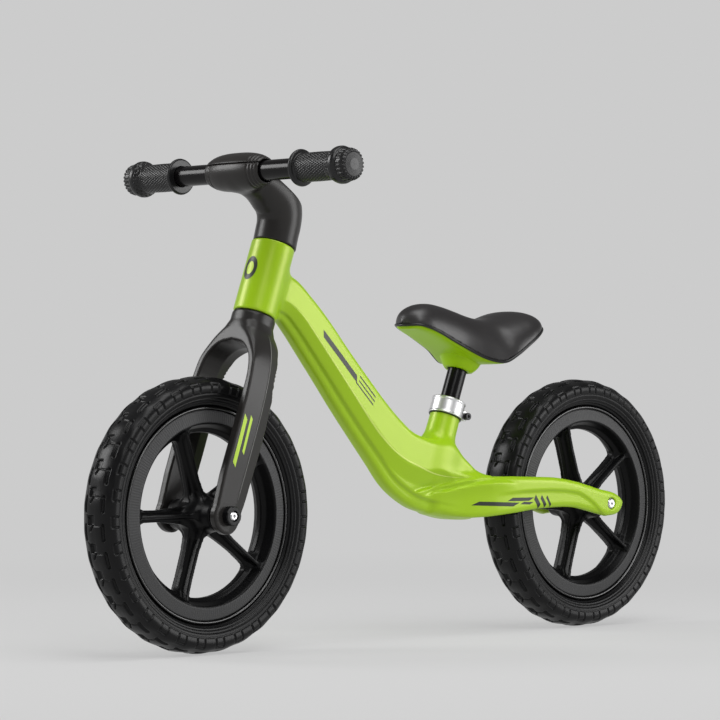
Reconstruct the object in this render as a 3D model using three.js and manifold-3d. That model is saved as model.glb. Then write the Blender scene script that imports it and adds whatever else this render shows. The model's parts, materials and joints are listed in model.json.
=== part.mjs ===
// A child's 12-inch balance bike: a cast one-piece frame and fork, a curved stem neck with an
// egg-shaped bar clamp, five-spoke wheels on solid foam tyres and a seat post with a small saddle.
// Millimetres. +X points forwards, +Y to the rider's left and +Z up. The origin is on the ground,
// midway between the two axles.

import * as THREE from "three";
import { LoftGeometry } from "three/addons/geometries/LoftGeometry.js";
import { mergeVertices } from "three/addons/utils/BufferGeometryUtils.js";
import Module from "manifold-3d";

const wasm = await Module();
wasm.setup();

// ---- driving dimensions ----

const GAP = 0.3;
const WHEELBASE = 611.6;
const TYRE_RADIUS = 147.5;
const TYRE_HALF_WIDTH = 23.7;
const RIM_RADIUS = 113;
const SPOKES = 5;
const HUB_HALF = 34;
const HUB_RADIUS = 18;
const HUB_BORE = 9;
const SLEEVE_RADIUS = 7.5;
const SPACER_RADIUS = 8;
const BEARING_RADIUS = 13;
const BEARING_WIDTH = 8;
const AXLE_RADIUS = 5;
const SPOT_FACE_RADIUS = 11;

const HEAD_ANGLE = 69.74;
const HEAD_BOTTOM = new THREE.Vector3(224.2, 0, 361.5);
const HEAD_LENGTH = 81.3;
const HEAD_RADIUS = 24;
const STEERER_RADIUS = 14.3;
const STEERER_TOP = 116;
const HEADSET_RADIUS = 20.5;
const HEADSET_BORE = 16.5;
const HEADSET_POCKET_DEPTH = 9.4;
const HEADSET_BEARING_HEIGHT = 7;
const RACE_HEIGHT = 1.8;
const CROWN_TOP = -0.4;
const STEERER_SOCKET = 28;

const FORK_HALF_WIDTH = 48.5;
const LEG_INNER = 38.5;
const LEG_HALF_BREADTH = 22;
const AXLE_DROP = 229;
const AXLE_RAKE = 2.5;

const BAR_CENTRE = new THREE.Vector3(245.8, 0, 515.2);
const BAR_RADIUS = 11.1;
const BAR_HALF = 165;
const POD_HALF = 42;
const POD_SEAM = 8;
const GRIP_START = 93.5;
const GRIP_END = 175;

const SEAT_ANGLE = 68.5;
const SEAT_CLAMP_BASE = new THREE.Vector3(-77.6, 0, 254.1);
const CLAMP_HEIGHT = 16.5;
const STUB_RADIUS = 17.5;
const POST_RADIUS = 11.1;
const POST_BOTTOM = -70;
const POST_TOP = 78;

const SEAT_BORE_DEPTH = 96;
const CLAMP_SLIT = 2;

const ARM_OUTER = 56;
const ARM_INNER = 42;
const BOLT_RECESS_RADIUS = 6.8;

const DEGREE = Math.PI / 180;
const RAKE_TURN = -(90 - HEAD_ANGLE) * DEGREE;
const SEAT_TURN = -(90 - SEAT_ANGLE) * DEGREE;

// ---- materials ----

const paint = (color, roughness, metalness) => new THREE.MeshStandardMaterial({ color, roughness, metalness });
const FINISH = {
  green: () => paint(0x9ccb1f, 0.35, 0.1),
  grey: () => paint(0x4a4743, 0.45, 0.3),
  black: () => paint(0x17171a, 0.5, 0),
  foam: () => paint(0x1d1d1f, 0.8, 0),
  vinyl: () => paint(0x242326, 0.5, 0),
  steel: () => paint(0xc9cacc, 0.25, 0.9),
  aluminium: () => paint(0xe2e3e5, 0.2, 0.9),
  bearing: () => paint(0x9a9ca0, 0.3, 0.8),
};

// ---- solids ----

// A closed geometry as a solid whose faces point outwards.
function solid(geometry) {
  const bare = geometry.index ? geometry.toNonIndexed() : geometry.clone();
  for (const name of Object.keys(bare.attributes)) {
    if (name !== "position") bare.deleteAttribute(name);
  }
  const merged = mergeVertices(bare, 1e-3);
  const index = merged.index.array;
  const corners = [];
  for (let i = 0; i < index.length; i += 3) {
    const [a, b, c] = [index[i], index[i + 1], index[i + 2]];
    if (a !== b && b !== c && c !== a) corners.push(a, b, c);
  }
  const build = (triangles) =>
    new wasm.Manifold(
      new wasm.Mesh({
        numProp: 3,
        vertProperties: new Float32Array(merged.attributes.position.array),
        triVerts: new Uint32Array(triangles),
      }),
    );
  const made = build(corners);
  if (made.volume() > 0) return made;
  const turned = [];
  for (let i = 0; i < corners.length; i += 3) turned.push(corners[i], corners[i + 2], corners[i + 1]);
  return build(turned);
}

const joined = (parts) => parts.reduce((sum, part) => sum.add(part));
const cut = (body, tools) => tools.reduce((rest, tool) => rest.subtract(tool), body);

// A solid of revolution about Y from a closed outline of [radius, height] points.
function turned(outline, segments, turn = 0) {
  const points = [...outline, outline[0]].map(([radius, height]) => new THREE.Vector2(radius, height));
  return solid(new THREE.LatheGeometry(points, segments, turn));
}

const rod = (radius, low, high, segments = 12) =>
  turned(
    [
      [0, low],
      [radius, low],
      [radius, high],
      [0, high],
    ],
    segments,
  );

const ring = (outer, inner, low, high, segments = 16) =>
  turned(
    [
      [inner, low],
      [outer, low],
      [outer, high],
      [inner, high],
    ],
    segments,
  );

// Turns a solid made about Y so that its axis is Z.
const upright = (body) => body.rotate([90, 0, 0]);

// A solid between flat outlines: points are [x, y] in the outline's plane.
function slab(points, depth) {
  const shape = new THREE.Shape(points.map(([x, y]) => new THREE.Vector2(x, y)));
  const geometry = new THREE.ExtrudeGeometry(shape, { depth, bevelEnabled: false });
  return solid(geometry.translate(0, 0, -depth / 2));
}

// An outline in the X-Z plane, extruded across Y.
const sideSlab = (points, depth) => slab(points, depth).rotate([90, 0, 0]);

// A smooth curve through a few points, sampled evenly.
function smooth(points, samples, closed = false) {
  const curve = new THREE.CatmullRomCurve3(
    points.map(([x, y, z = 0]) => new THREE.Vector3(x, y, z)),
    closed,
    "centripetal",
  );
  return curve.getPoints(samples);
}

const smoothOutline = (points, samples) => smooth(points, samples).map((p) => [p.x, p.y]);

function loft(sections) {
  return solid(new LoftGeometry(sections, { capStart: true, capEnd: true }));
}

function block(width, depth, height, x, y, z) {
  return solid(new THREE.BoxGeometry(width, depth, height).translate(x, y, z));
}

// ---- scene helpers ----

function node(name, body, material) {
  const { numProp, vertProperties, triVerts } = body.getMesh();
  const count = vertProperties.length / numProp;
  const positions = new Float32Array(count * 3);
  for (let i = 0; i < count; i++) positions.set(vertProperties.subarray(i * numProp, i * numProp + 3), i * 3);
  const geometry = new THREE.BufferGeometry();
  geometry.setAttribute("position", new THREE.BufferAttribute(positions, 3));
  geometry.setIndex(new THREE.BufferAttribute(new Uint32Array(triVerts), 1));
  geometry.computeVertexNormals();
  const mesh = new THREE.Mesh(geometry, material);
  mesh.name = name;
  return mesh;
}

const bike = new THREE.Group();
const steering = new THREE.Group();
steering.position.copy(HEAD_BOTTOM);
steering.rotation.y = RAKE_TURN;
const seat = new THREE.Group();
seat.position.copy(SEAT_CLAMP_BASE);
seat.rotation.y = SEAT_TURN;
bike.add(steering, seat);

// Solids made in the bike's frame can be cut by ones made along the steering or seat axis.
const alongSteering = (body) => body.rotate([0, RAKE_TURN / DEGREE, 0]).translate(HEAD_BOTTOM.toArray());
const alongSeat = (body) => body.rotate([0, SEAT_TURN / DEGREE, 0]).translate(SEAT_CLAMP_BASE.toArray());

// ---- wheels ----

function tyreSolid() {
  const outline = [
    [115.5, -13],
    [119, -18],
    [128, -22.6],
    [137, -TYRE_HALF_WIDTH],
    [142, -20.5],
    [146, -12.5],
    [TYRE_RADIUS, -4.5],
  ];
  const mirrored = outline.map(([radius, height]) => [radius, -height]).reverse();
  return turned([...outline, ...mirrored], 32);
}

// One spoke: a flat web along the wheel's plane with a tall rib across it.
function spoke() {
  const web = sideSlab(
    [
      [14, -10],
      [60, -6.5],
      [84, -7],
      [93, -15],
      [93, 15],
      [84, 7],
      [60, 6.5],
      [14, 10],
    ],
    7,
  );
  const rib = slab(
    [
      [14, -17],
      [40, -13.5],
      [95, -14],
      [95, 14],
      [40, 13.5],
      [14, 17],
    ],
    4,
  );
  return web.add(rib);
}

function rimSolid() {
  const band = [
    [88, -4],
    [97.5, -15],
    [99.5, -17],
    [RIM_RADIUS, -14],
    [115.2, -12.5],
  ];
  const mirrored = band.map(([radius, height]) => [radius, -height]).reverse();
  const hub = turned(
    [
      [0, -HUB_HALF],
      [HUB_RADIUS - 2, -HUB_HALF],
      [HUB_RADIUS, -22],
      [HUB_RADIUS + 4, -6],
      [HUB_RADIUS + 4, 6],
      [HUB_RADIUS, 22],
      [HUB_RADIUS - 2, HUB_HALF],
      [0, HUB_HALF],
    ],
    16,
  );
  const spokes = [];
  for (let i = 0; i < SPOKES; i++) spokes.push(spoke().rotate([0, (i * 360) / SPOKES, 0]));
  const pocketDepth = BEARING_WIDTH + GAP;
  return cut(joined([turned([...band, ...mirrored], 32), hub, ...spokes]), [
    rod(HUB_BORE, -HUB_HALF, HUB_HALF),
    rod(BEARING_RADIUS + GAP, HUB_HALF - pocketDepth, HUB_HALF + 1, 16),
    rod(BEARING_RADIUS + GAP, -HUB_HALF - 1, -HUB_HALF + pocketDepth, 16),
  ]);
}

// A wheel with its bearings, hub sleeve and the two spacers that centre it between its carriers.
function addWheel(prefix, x, carrierInner) {
  const wheel = new THREE.Group();
  wheel.position.set(x, 0, TYRE_RADIUS);
  bike.add(wheel);
  wheel.add(node(prefix + "_tyre", tyreSolid(), FINISH.foam()));
  wheel.add(node(prefix + "_rim", rimSolid(), FINISH.black()));
  const sleeveHalf = HUB_HALF - BEARING_WIDTH - GAP;
  wheel.add(node(prefix + "_hub_sleeve", ring(SLEEVE_RADIUS, AXLE_RADIUS + GAP, -sleeveHalf, sleeveHalf, 16), FINISH.steel()));
  for (const [side, name] of [
    [1, "left"],
    [-1, "right"],
  ]) {
    const bearing = ring(BEARING_RADIUS, AXLE_RADIUS + GAP, -BEARING_WIDTH / 2, BEARING_WIDTH / 2, 16);
    const bearingMesh = node(prefix + "_bearing_" + name, bearing, FINISH.bearing());
    bearingMesh.position.y = side * (HUB_HALF - BEARING_WIDTH / 2);
    const from = HUB_HALF + GAP;
    const length = carrierInner - GAP - from;
    const spacer = ring(SPACER_RADIUS, AXLE_RADIUS + GAP, -length / 2, length / 2, 16);
    const spacerMesh = node(prefix + "_spacer_" + name, spacer, FINISH.steel());
    spacerMesh.position.y = side * (from + length / 2);
    wheel.add(bearingMesh, spacerMesh);
  }
  return wheel;
}

// An axle with a tapped end at each side and a round-headed bolt in each.
function addAxle(wheel, prefix, half, headRadius, headHeight) {
  const tapDepth = 14;
  const shankRadius = 2.4;
  const axle = cut(rod(AXLE_RADIUS, -half, half), [
    rod(shankRadius + GAP, half - tapDepth, half + 1, 12),
    rod(shankRadius + GAP, -half - 1, -half + tapDepth, 12),
  ]);
  wheel.add(node(prefix + "_axle", axle, FINISH.steel()));
  const socket = rod(2, headHeight - 2, headHeight + 1, 6);
  const bolt = cut(
    turned(
      [
        [0, GAP - tapDepth + 1],
        [shankRadius, GAP - tapDepth + 1],
        [shankRadius, GAP],
        [headRadius, GAP],
        [headRadius, headHeight - 1.2],
        [headRadius - 1.5, headHeight],
        [0, headHeight],
      ],
      16,
    ),
    [socket],
  );
  for (const [side, name] of [
    [1, "left"],
    [-1, "right"],
  ]) {
    const mesh = node(prefix + "_axle_bolt_" + name, bolt, FINISH.steel());
    mesh.position.y = side * half;
    mesh.rotation.x = side > 0 ? 0 : Math.PI;
    wheel.add(mesh);
  }
}

// ---- frame ----

// Half of the beam's section: [across, up], both from -1 to 1, from the crown round to the keel.
const BEAM_SECTION = [
  [0, 1.02],
  [0.8, 1],
  [0.96, 0.9],
  [1, 0.7],
  [1, -0.12],
  [0.66, -0.63],
  [0.62, -0.75],
  [0.42, -0.97],
  [0, -1],
];

// Stations along the beam: top line x and z, bottom line x and z, half width.
const BEAM_STATIONS = [
  [200, 414, 214, 362, 17],
  [172, 400, 190, 354, 18],
  [150, 382, 176, 341, 19],
  [126, 359, 162, 325, 19.5],
  [96, 327, 134, 293, 20],
  [66, 297, 104, 258, 20],
  [38, 270, 77, 228, 20],
  [12, 248, 48, 197, 20.5],
  [-14, 232, 20, 168, 21],
  [-45, 222, -12, 149, 22],
  [-75, 212, -43, 141, 24],
  [-100, 192, -77, 136, 29],
  [-116, 180, -105, 134, 33],
];

function beamSolid() {
  const sections = BEAM_STATIONS.map(([topX, topZ, lowX, lowZ, half]) => {
    const place = (across, up) => {
      const share = (up + 1) / 2;
      return new THREE.Vector3(lowX + (topX - lowX) * share, across * half, lowZ + (topZ - lowZ) * share);
    };
    const left = BEAM_SECTION.map(([across, up]) => place(across, up));
    const right = BEAM_SECTION.slice(1, -1).map(([across, up]) => place(-across, up));
    return [...left, ...right.reverse()];
  });
  return loft(sections);
}

// The rear arm's outline seen from the side, and its left half seen from above.
const ARM_TOP = [
  [-44, 186],
  [-92, 182],
  [-133, 182],
  [-182, 181],
  [-215, 179.5],
  [-250, 174],
  [-286, 165.5],
  [-318, 158.5],
  [-330, 149],
  [-321, 136],
  [-300, 132.5],
];
const ARM_BOTTOM = [
  [-268, 139.5],
  [-242, 144],
  [-191, 143.5],
  [-150, 139.5],
  [-93, 134.5],
  [-44, 138],
];
const ARM_OUTSIDE = [
  [-44, 17],
  [-70, 25],
  [-95, 34],
  [-120, 41.5],
  [-150, 47.5],
  [-190, 51.5],
  [-240, 54.5],
  [-290, ARM_OUTER],
  [-326, ARM_OUTER],
];
const ARM_INSIDE = [
  [-334, 48],
  [-322, ARM_INNER],
  [-290, ARM_INNER],
  [-230, 41],
  [-190, 39],
  [-160, 34.5],
  [-140, 26],
  [-128, 13],
  [-124, 0],
];

function armSolid(side) {
  const outline = [...smoothOutline(ARM_TOP, 22), ...smoothOutline(ARM_BOTTOM, 10)];
  const plan = [[-44, 0], ...smoothOutline(ARM_OUTSIDE, 12), ...smoothOutline(ARM_INSIDE, 14)];
  const above = slab(
    plan.map(([x, y]) => [x, side * y]),
    400,
  );
  return above.intersect(sideSlab(outline, 2 * ARM_OUTER));
}

function headTubeSolid() {
  return upright(rod(HEAD_RADIUS, 0, HEAD_LENGTH, 28));
}

// The seat tube's stub flares into the beam.
function seatStubSolid() {
  return upright(
    turned(
      [
        [0, -60],
        [36, -60],
        [28, -47],
        [21.5, -34],
        [18.5, -20],
        [STUB_RADIUS, -8],
        [STUB_RADIUS, 0],
        [0, 0],
      ],
      24,
    ),
  );
}

function frameSolid() {
  const arms = [1, -1].map(armSolid);
  const body = joined([beamSolid(), alongSteering(headTubeSolid()), alongSeat(seatStubSolid()), ...arms]);
  const pocket = HEADSET_POCKET_DEPTH;
  const boreTools = [
    alongSteering(upright(rod(HEADSET_BORE, -5, HEAD_LENGTH + 5, 16))),
    alongSteering(upright(rod(HEADSET_RADIUS + GAP, -5, pocket, 20))),
    alongSteering(upright(rod(HEADSET_RADIUS + GAP, HEAD_LENGTH - pocket, HEAD_LENGTH + 5, 20))),
    alongSeat(upright(rod(POST_RADIUS + GAP, -SEAT_BORE_DEPTH, 1, 20))),
    alongSeat(block(20, CLAMP_SLIT, 26, -20, 0, -12)),
  ];
  const axleTools = [
    rod(AXLE_RADIUS + GAP, -ARM_OUTER, ARM_OUTER),
    rod(SPOT_FACE_RADIUS, -ARM_INNER, ARM_INNER),
    rod(BOLT_RECESS_RADIUS, ARM_OUTER - 5, ARM_OUTER + 5),
    rod(BOLT_RECESS_RADIUS, -ARM_OUTER - 5, -ARM_OUTER + 5),
  ].map((tool) => tool.translate([-WHEELBASE / 2, 0, TYRE_RADIUS]));
  return cut(body, [...boreTools, ...axleTools]);
}

// ---- headset ----

function addHeadset() {
  const inner = STEERER_RADIUS + GAP;
  const raceLow = CROWN_TOP + GAP;
  const low = raceLow + RACE_HEIGHT + GAP;
  const high = HEAD_LENGTH - low;
  const piece = (name, outer, from, to, material) =>
    steering.add(node(name, upright(ring(outer, inner, from, to, 20)), material));
  piece("headset_lower_bearing", HEADSET_RADIUS, low, low + HEADSET_BEARING_HEIGHT, FINISH.bearing());
  piece("headset_upper_bearing", HEADSET_RADIUS, high - HEADSET_BEARING_HEIGHT, high, FINISH.bearing());
  piece("crown_race", HEADSET_RADIUS - 2, raceLow, low - GAP, FINISH.steel());
  piece("headset_compression_ring", HEADSET_RADIUS - 2, high + GAP, HEAD_LENGTH - raceLow, FINISH.steel());
}

// ---- fork ----

// Half of the fork seen from the front: [across, along the steering axis].
const CROWN_OUTSIDE = [
  [HEAD_RADIUS, CROWN_TOP],
  [24.4, -9],
  [27, -19],
  [34.5, -32],
  [42, -52],
  [46.3, -76],
  [FORK_HALF_WIDTH, -105],
  [FORK_HALF_WIDTH + 0.6, -150],
  [FORK_HALF_WIDTH, -200],
  [FORK_HALF_WIDTH, -255],
];
const CROWN_INSIDE = [
  [LEG_INNER, -255],
  [LEG_INNER, -150],
  [LEG_INNER, -105],
  [37.4, -72],
  [31, -52],
  [18, -40],
  [0, -36],
];

function forkSolid() {
  const outside = smooth(CROWN_OUTSIDE, 16).map((p) => [p.x, p.y]);
  const inside = smooth(CROWN_INSIDE, 14).map((p) => [p.x, p.y]);
  const half = [...outside, ...inside];
  const mirrored = half.map(([across, along]) => [-across, along]).reverse();
  const front = slab([...half, ...mirrored.slice(1)], 120).rotate([90, 0, 0]).rotate([0, 0, 90]);
  const endRadius = 20;
  const profile = [
    [-HEAD_RADIUS, CROWN_TOP],
    [-HEAD_RADIUS, -12],
    [-19.5, -45],
    [-LEG_HALF_BREADTH, -75],
    [-LEG_HALF_BREADTH, -190],
  ];
  for (let turn = 195; turn <= 345; turn += 15) {
    const angle = turn * DEGREE;
    profile.push([AXLE_RAKE + endRadius * Math.cos(angle), endRadius * Math.sin(angle) - AXLE_DROP]);
  }
  profile.push([LEG_HALF_BREADTH + 2, -195]);
  profile.push([LEG_HALF_BREADTH + 1, -75]);
  profile.push([23.5, -40]);
  profile.push([HEAD_RADIUS, -12]);
  profile.push([HEAD_RADIUS, CROWN_TOP]);
  const blades = front.intersect(sideSlab(profile, 200));
  const envelope = upright(
    turned(
      [
        [0, CROWN_TOP],
        [HEAD_RADIUS, CROWN_TOP],
        [HEAD_RADIUS, -12],
        [27.5, -21],
        [37, -34],
        [48, -52],
        [66, -80],
        [80, -110],
        [80, -260],
        [0, -260],
      ],
      28,
    ),
  );
  const body = blades.intersect(envelope);
  const axleHole = rod(AXLE_RADIUS + GAP, -70, 70).translate([AXLE_RAKE, 0, -AXLE_DROP]);
  const spotFace = rod(SPOT_FACE_RADIUS, -LEG_INNER, LEG_INNER).translate([AXLE_RAKE, 0, -AXLE_DROP]);
  return cut(body, [axleHole, spotFace, upright(rod(STEERER_RADIUS + GAP, -STEERER_SOCKET, 5, 20))]);
}

function addFork() {
  steering.add(node("fork", forkSolid(), FINISH.grey()));
  const bore = STEERER_RADIUS - 2;
  const tube = upright(ring(STEERER_RADIUS, bore, GAP - STEERER_SOCKET, STEERER_TOP, 20));
  steering.add(node("steerer_tube", tube, FINISH.steel()));
}

// The black round bosses that stand on the fork's axle eyes.
function addAxleCaps(wheel) {
  const seatY = FORK_HALF_WIDTH + GAP;
  const faceY = 56.4;
  const profile = [
    [AXLE_RADIUS + GAP, 0],
    [10.5, 0],
    [10.5, faceY - seatY - 1],
    [9.5, faceY - seatY],
    [6, faceY - seatY],
    [6, 3.4],
    [AXLE_RADIUS + GAP, 3.4],
  ];
  for (const [side, name] of [
    [1, "left"],
    [-1, "right"],
  ]) {
    const mesh = node("front_axle_cap_" + name, turned(profile, 16), FINISH.black());
    mesh.position.y = side * seatY;
    mesh.rotation.x = side > 0 ? 0 : Math.PI;
    wheel.add(mesh);
  }
}

// ---- stem and bars ----

// Stations up the neck: centre x and z, radius in the bike's plane, radius across, lean in degrees.
const NECK_STATIONS = [
  [195.9, 438.2, 24, 24, 20.3],
  [191, 450.5, 24, 24, 18],
  [187.5, 463, 24.6, 24, 9],
  [187, 475, 26, 24, -6],
  [191, 487, 27, 24, -26],
  [202, 497, 26, 23.5, -46],
  [217, 505, 22, 22.5, -62],
  [233, 509.5, 19, 21, -74],
  [246, 511, 16, 18, -84],
];
const NECK_SIDES = 16;
const FACET_START = new THREE.Vector3(167, 0, 482);
const FACET_SLOPE = 34.3;

function neckSolid() {
  const sections = NECK_STATIONS.map(([x, z, inPlane, across, lean]) => {
    const points = [];
    for (let i = 0; i < NECK_SIDES; i++) {
      const turn = (i / NECK_SIDES) * 2 * Math.PI;
      const reach = inPlane * Math.cos(turn);
      const tilt = lean * DEGREE;
      points.push(new THREE.Vector3(x + reach * Math.cos(tilt), across * Math.sin(turn), z + reach * Math.sin(tilt)));
    }
    return points;
  });
  // The rear of the bend is cut flat, where the stem bolt goes in.
  const offcut = block(160, 100, 60, 0, 0, 30).rotate([0, -FACET_SLOPE, 0]).translate(FACET_START.toArray());
  return loft(sections).subtract(offcut);
}

// The egg-shaped pod round the handlebar.
function podSolid() {
  const shape = [
    [0, -POD_HALF],
    [13.8, -POD_HALF],
    [15.4, -POD_HALF + 3],
    [17.8, -33],
    [19.6, -25],
    [20.8, -14],
    [21, -4],
  ];
  const mirrored = shape.map(([radius, height]) => [radius, -height]).reverse();
  return turned([...shape, ...mirrored], 20).translate(BAR_CENTRE.toArray());
}

// Two screws behind the bar pull the cap down: name, x and y from the bar's centre.
const CLAMP_SCREWS = [
  ["left", -13.2, 27.5],
  ["right", -13.2, -27.5],
];
const CLAMP_SCREW_RADIUS = 1.5;
const CLAMP_SCREW_HEAD = 2.75;
const CLAMP_SCREW_HEAD_HEIGHT = 3;
const CLAMP_SCREW_LOW = -8;
const CLAMP_SCREW_HIGH = 11;

function addStem() {
  const seam = BAR_CENTRE.z + POD_SEAM;
  const pod = podSolid();
  const above = block(200, 200, 60, BAR_CENTRE.x, 0, seam + 30 + GAP);
  const below = block(200, 200, 60, BAR_CENTRE.x, 0, seam - 30);
  const barBore = rod(BAR_RADIUS + GAP, -100, 100, 20).translate(BAR_CENTRE.toArray());
  const screwHole = ([, x, y]) => {
    const radius = CLAMP_SCREW_RADIUS + GAP;
    const place = [BAR_CENTRE.x + x, y, BAR_CENTRE.z];
    const hole = upright(rod(radius, -40, CLAMP_SCREW_HIGH + GAP, 8)).translate(place);
    const recess = upright(rod(CLAMP_SCREW_HEAD + GAP, -40, CLAMP_SCREW_LOW, 8)).translate(place);
    return hole.add(recess);
  };
  const holes = CLAMP_SCREWS.map(screwHole);
  const steererBore = alongSteering(upright(rod(STEERER_RADIUS + GAP, -20, STEERER_TOP + GAP, 20)));
  const boltHole = alongSteering(upright(rod(3 + GAP, 100, 200, 12)));
  const boltRecess = alongSteering(upright(rod(6, STEERER_TOP + 7, 200, 16)));
  const lower = cut(joined([neckSolid(), pod]).subtract(above.translate([0, 0, -GAP])), [
    barBore,
    steererBore,
    boltHole,
    boltRecess,
    ...holes,
  ]);
  const cap = cut(pod.subtract(below), [barBore, block(200, 200, 2 * GAP, BAR_CENTRE.x, 0, seam), ...holes]);
  bike.add(node("stem_neck", lower, FINISH.grey()));
  bike.add(node("bar_clamp_cap", cap, FINISH.grey()));
  for (const [name, x, y] of CLAMP_SCREWS) {
    const screw = upright(
      turned(
        [
          [0, CLAMP_SCREW_LOW - CLAMP_SCREW_HEAD_HEIGHT],
          [CLAMP_SCREW_HEAD, CLAMP_SCREW_LOW - CLAMP_SCREW_HEAD_HEIGHT],
          [CLAMP_SCREW_HEAD, CLAMP_SCREW_LOW - GAP],
          [CLAMP_SCREW_RADIUS, CLAMP_SCREW_LOW - GAP],
          [CLAMP_SCREW_RADIUS, CLAMP_SCREW_HIGH],
          [0, CLAMP_SCREW_HIGH],
        ],
        8,
      ),
    );
    const mesh = node("bar_clamp_screw_" + name, screw, FINISH.steel());
    mesh.position.set(BAR_CENTRE.x + x, y, BAR_CENTRE.z);
    bike.add(mesh);
  }
}

// The bolt down the steerer's axis and the star nut that it pulls on.
function addStemBolt() {
  const headLow = STEERER_TOP + 7 + GAP;
  const bolt = upright(
    turned(
      [
        [0, 84],
        [3, 84],
        [3, headLow],
        [5, headLow],
        [5, headLow + 5],
        [0, headLow + 5],
      ],
      16,
    ).subtract(rod(2.4, headLow + 2, headLow + 8, 6)),
  );
  steering.add(node("stem_bolt", bolt, FINISH.steel()));
  const nut = upright(ring(STEERER_RADIUS - 2 - GAP, 3 + GAP, 88, 96, 16));
  steering.add(node("star_nut", nut, FINISH.steel()));
}

function addHandlebar() {
  const bar = node("handlebar_tube", ring(BAR_RADIUS, BAR_RADIUS - 1.8, -BAR_HALF, BAR_HALF, 20), FINISH.black());
  bar.position.copy(BAR_CENTRE);
  bike.add(bar);
  const bore = BAR_RADIUS + GAP;
  const grip = turned(
    [
      [bore, GRIP_START],
      [19, GRIP_START],
      [20, GRIP_START + 1.5],
      [19, GRIP_START + 3.5],
      [15.5, GRIP_START + 5],
      [15.2, GRIP_END - 32],
      [17, GRIP_END - 26],
      [20, GRIP_END - 20],
      [20, GRIP_END - 15.5],
      [17.5, GRIP_END - 12],
      [16, GRIP_END - 7.5],
      [12, GRIP_END - 2.5],
      [0, GRIP_END],
      [0, BAR_HALF + GAP],
      [bore, BAR_HALF + GAP],
    ],
    16,
  );
  for (const [side, name] of [
    [1, "left"],
    [-1, "right"],
  ]) {
    const mesh = node("grip_" + name, grip, FINISH.black());
    mesh.position.copy(BAR_CENTRE);
    mesh.rotation.x = side > 0 ? 0 : Math.PI;
    bike.add(mesh);
  }
}

// ---- seat clamp, post and saddle ----

function addSeatClamp() {
  const low = -3;
  const outer = STUB_RADIUS + 2.2;
  const earX = -outer - 3;
  const boltZ = 6;
  const collar = cut(
    joined([upright(rod(outer, low, CLAMP_HEIGHT, 24)), block(12, 17, 12, earX, 0, boltZ)]),
    [
      upright(rod(STUB_RADIUS + GAP, low - 1, GAP, 24)),
      upright(rod(POST_RADIUS + GAP, -5, CLAMP_HEIGHT + 1, 20)),
      block(20, CLAMP_SLIT, 40, -20, 0, 5),
      rod(2.5 + GAP, -30, 30, 12).translate([earX - 1, 0, boltZ]),
    ],
  );
  seat.add(node("seat_clamp_collar", collar, FINISH.aluminium()));
  const head = 8.5 + GAP;
  const bolt = turned(
    [
      [0, -12],
      [2.5, -12],
      [2.5, head],
      [4.2, head],
      [4.2, head + 5],
      [0, head + 5],
    ],
    12,
  ).subtract(rod(2, head + 2.5, head + 6, 6));
  const boltMesh = node("seat_clamp_bolt", bolt, FINISH.black());
  boltMesh.position.set(earX - 1, 0, boltZ);
  const nut = rod(4.5, -13.5, -head, 6).subtract(rod(2.5 + GAP, -20, 0, 12));
  const nutMesh = node("seat_clamp_nut", nut, FINISH.black());
  nutMesh.position.copy(boltMesh.position);
  seat.add(boltMesh, nutMesh);
}

function addSeatPost() {
  const bore = POST_RADIUS - 1.8;
  seat.add(node("seat_post", upright(ring(POST_RADIUS, bore, POST_BOTTOM, POST_TOP, 20)), FINISH.black()));
  const plug = upright(
    turned(
      [
        [0, POST_BOTTOM - 3],
        [POST_RADIUS - 1, POST_BOTTOM - 3],
        [POST_RADIUS, POST_BOTTOM - GAP],
        [bore - GAP, POST_BOTTOM - GAP],
        [bore - GAP, POST_BOTTOM + 10],
        [0, POST_BOTTOM + 10],
      ],
      16,
    ),
  );
  seat.add(node("seat_post_plug", plug, FINISH.black()));
  const insert = upright(ring(bore - GAP, 3 + GAP, POST_TOP - 18, POST_TOP, 16));
  seat.add(node("seat_post_insert", insert, FINISH.steel()));
  const headLow = POST_TOP + 5 + GAP;
  const bolt = upright(
    turned(
      [
        [0, POST_TOP - 16],
        [3, POST_TOP - 16],
        [3, headLow],
        [5.5, headLow],
        [5.5, headLow + 4],
        [0, headLow + 4],
      ],
      12,
    ),
  );
  seat.add(node("saddle_bolt", bolt, FINISH.steel()));
}

// Stations along the saddle, nose to tail: x, half width, edge height, crest height, keel height.
const SADDLE_STATIONS = [
  [-6, 5, 355, 363, 351],
  [-9, 12, 355.2, 368, 349],
  [-16, 20, 355.2, 374, 344.5],
  [-28, 25.5, 351.5, 378.5, 337],
  [-43, 28.5, 345.5, 379.8, 328],
  [-60, 31, 337.5, 377.4, 317],
  [-78, 34.5, 329, 373, 311.5],
  [-96, 41, 320, 368, 311],
  [-110, 47.5, 314.5, 365, 313],
  [-124, 55, 314, 363.8, 321],
  [-140, 61.5, 322.5, 365, 330],
  [-158, 64.5, 333.5, 369.5, 340],
  [-174, 63.5, 343, 373.2, 348],
  [-188, 56, 350.5, 373.5, 354],
  [-198, 45, 354.5, 370.5, 357.5],
  [-205, 30, 356, 364.5, 358.5],
];
const SADDLE_SIDES = 12;
const CUSHION_GAP = 0.4;
const SHELL_SHOWS_TO = -105;

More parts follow.
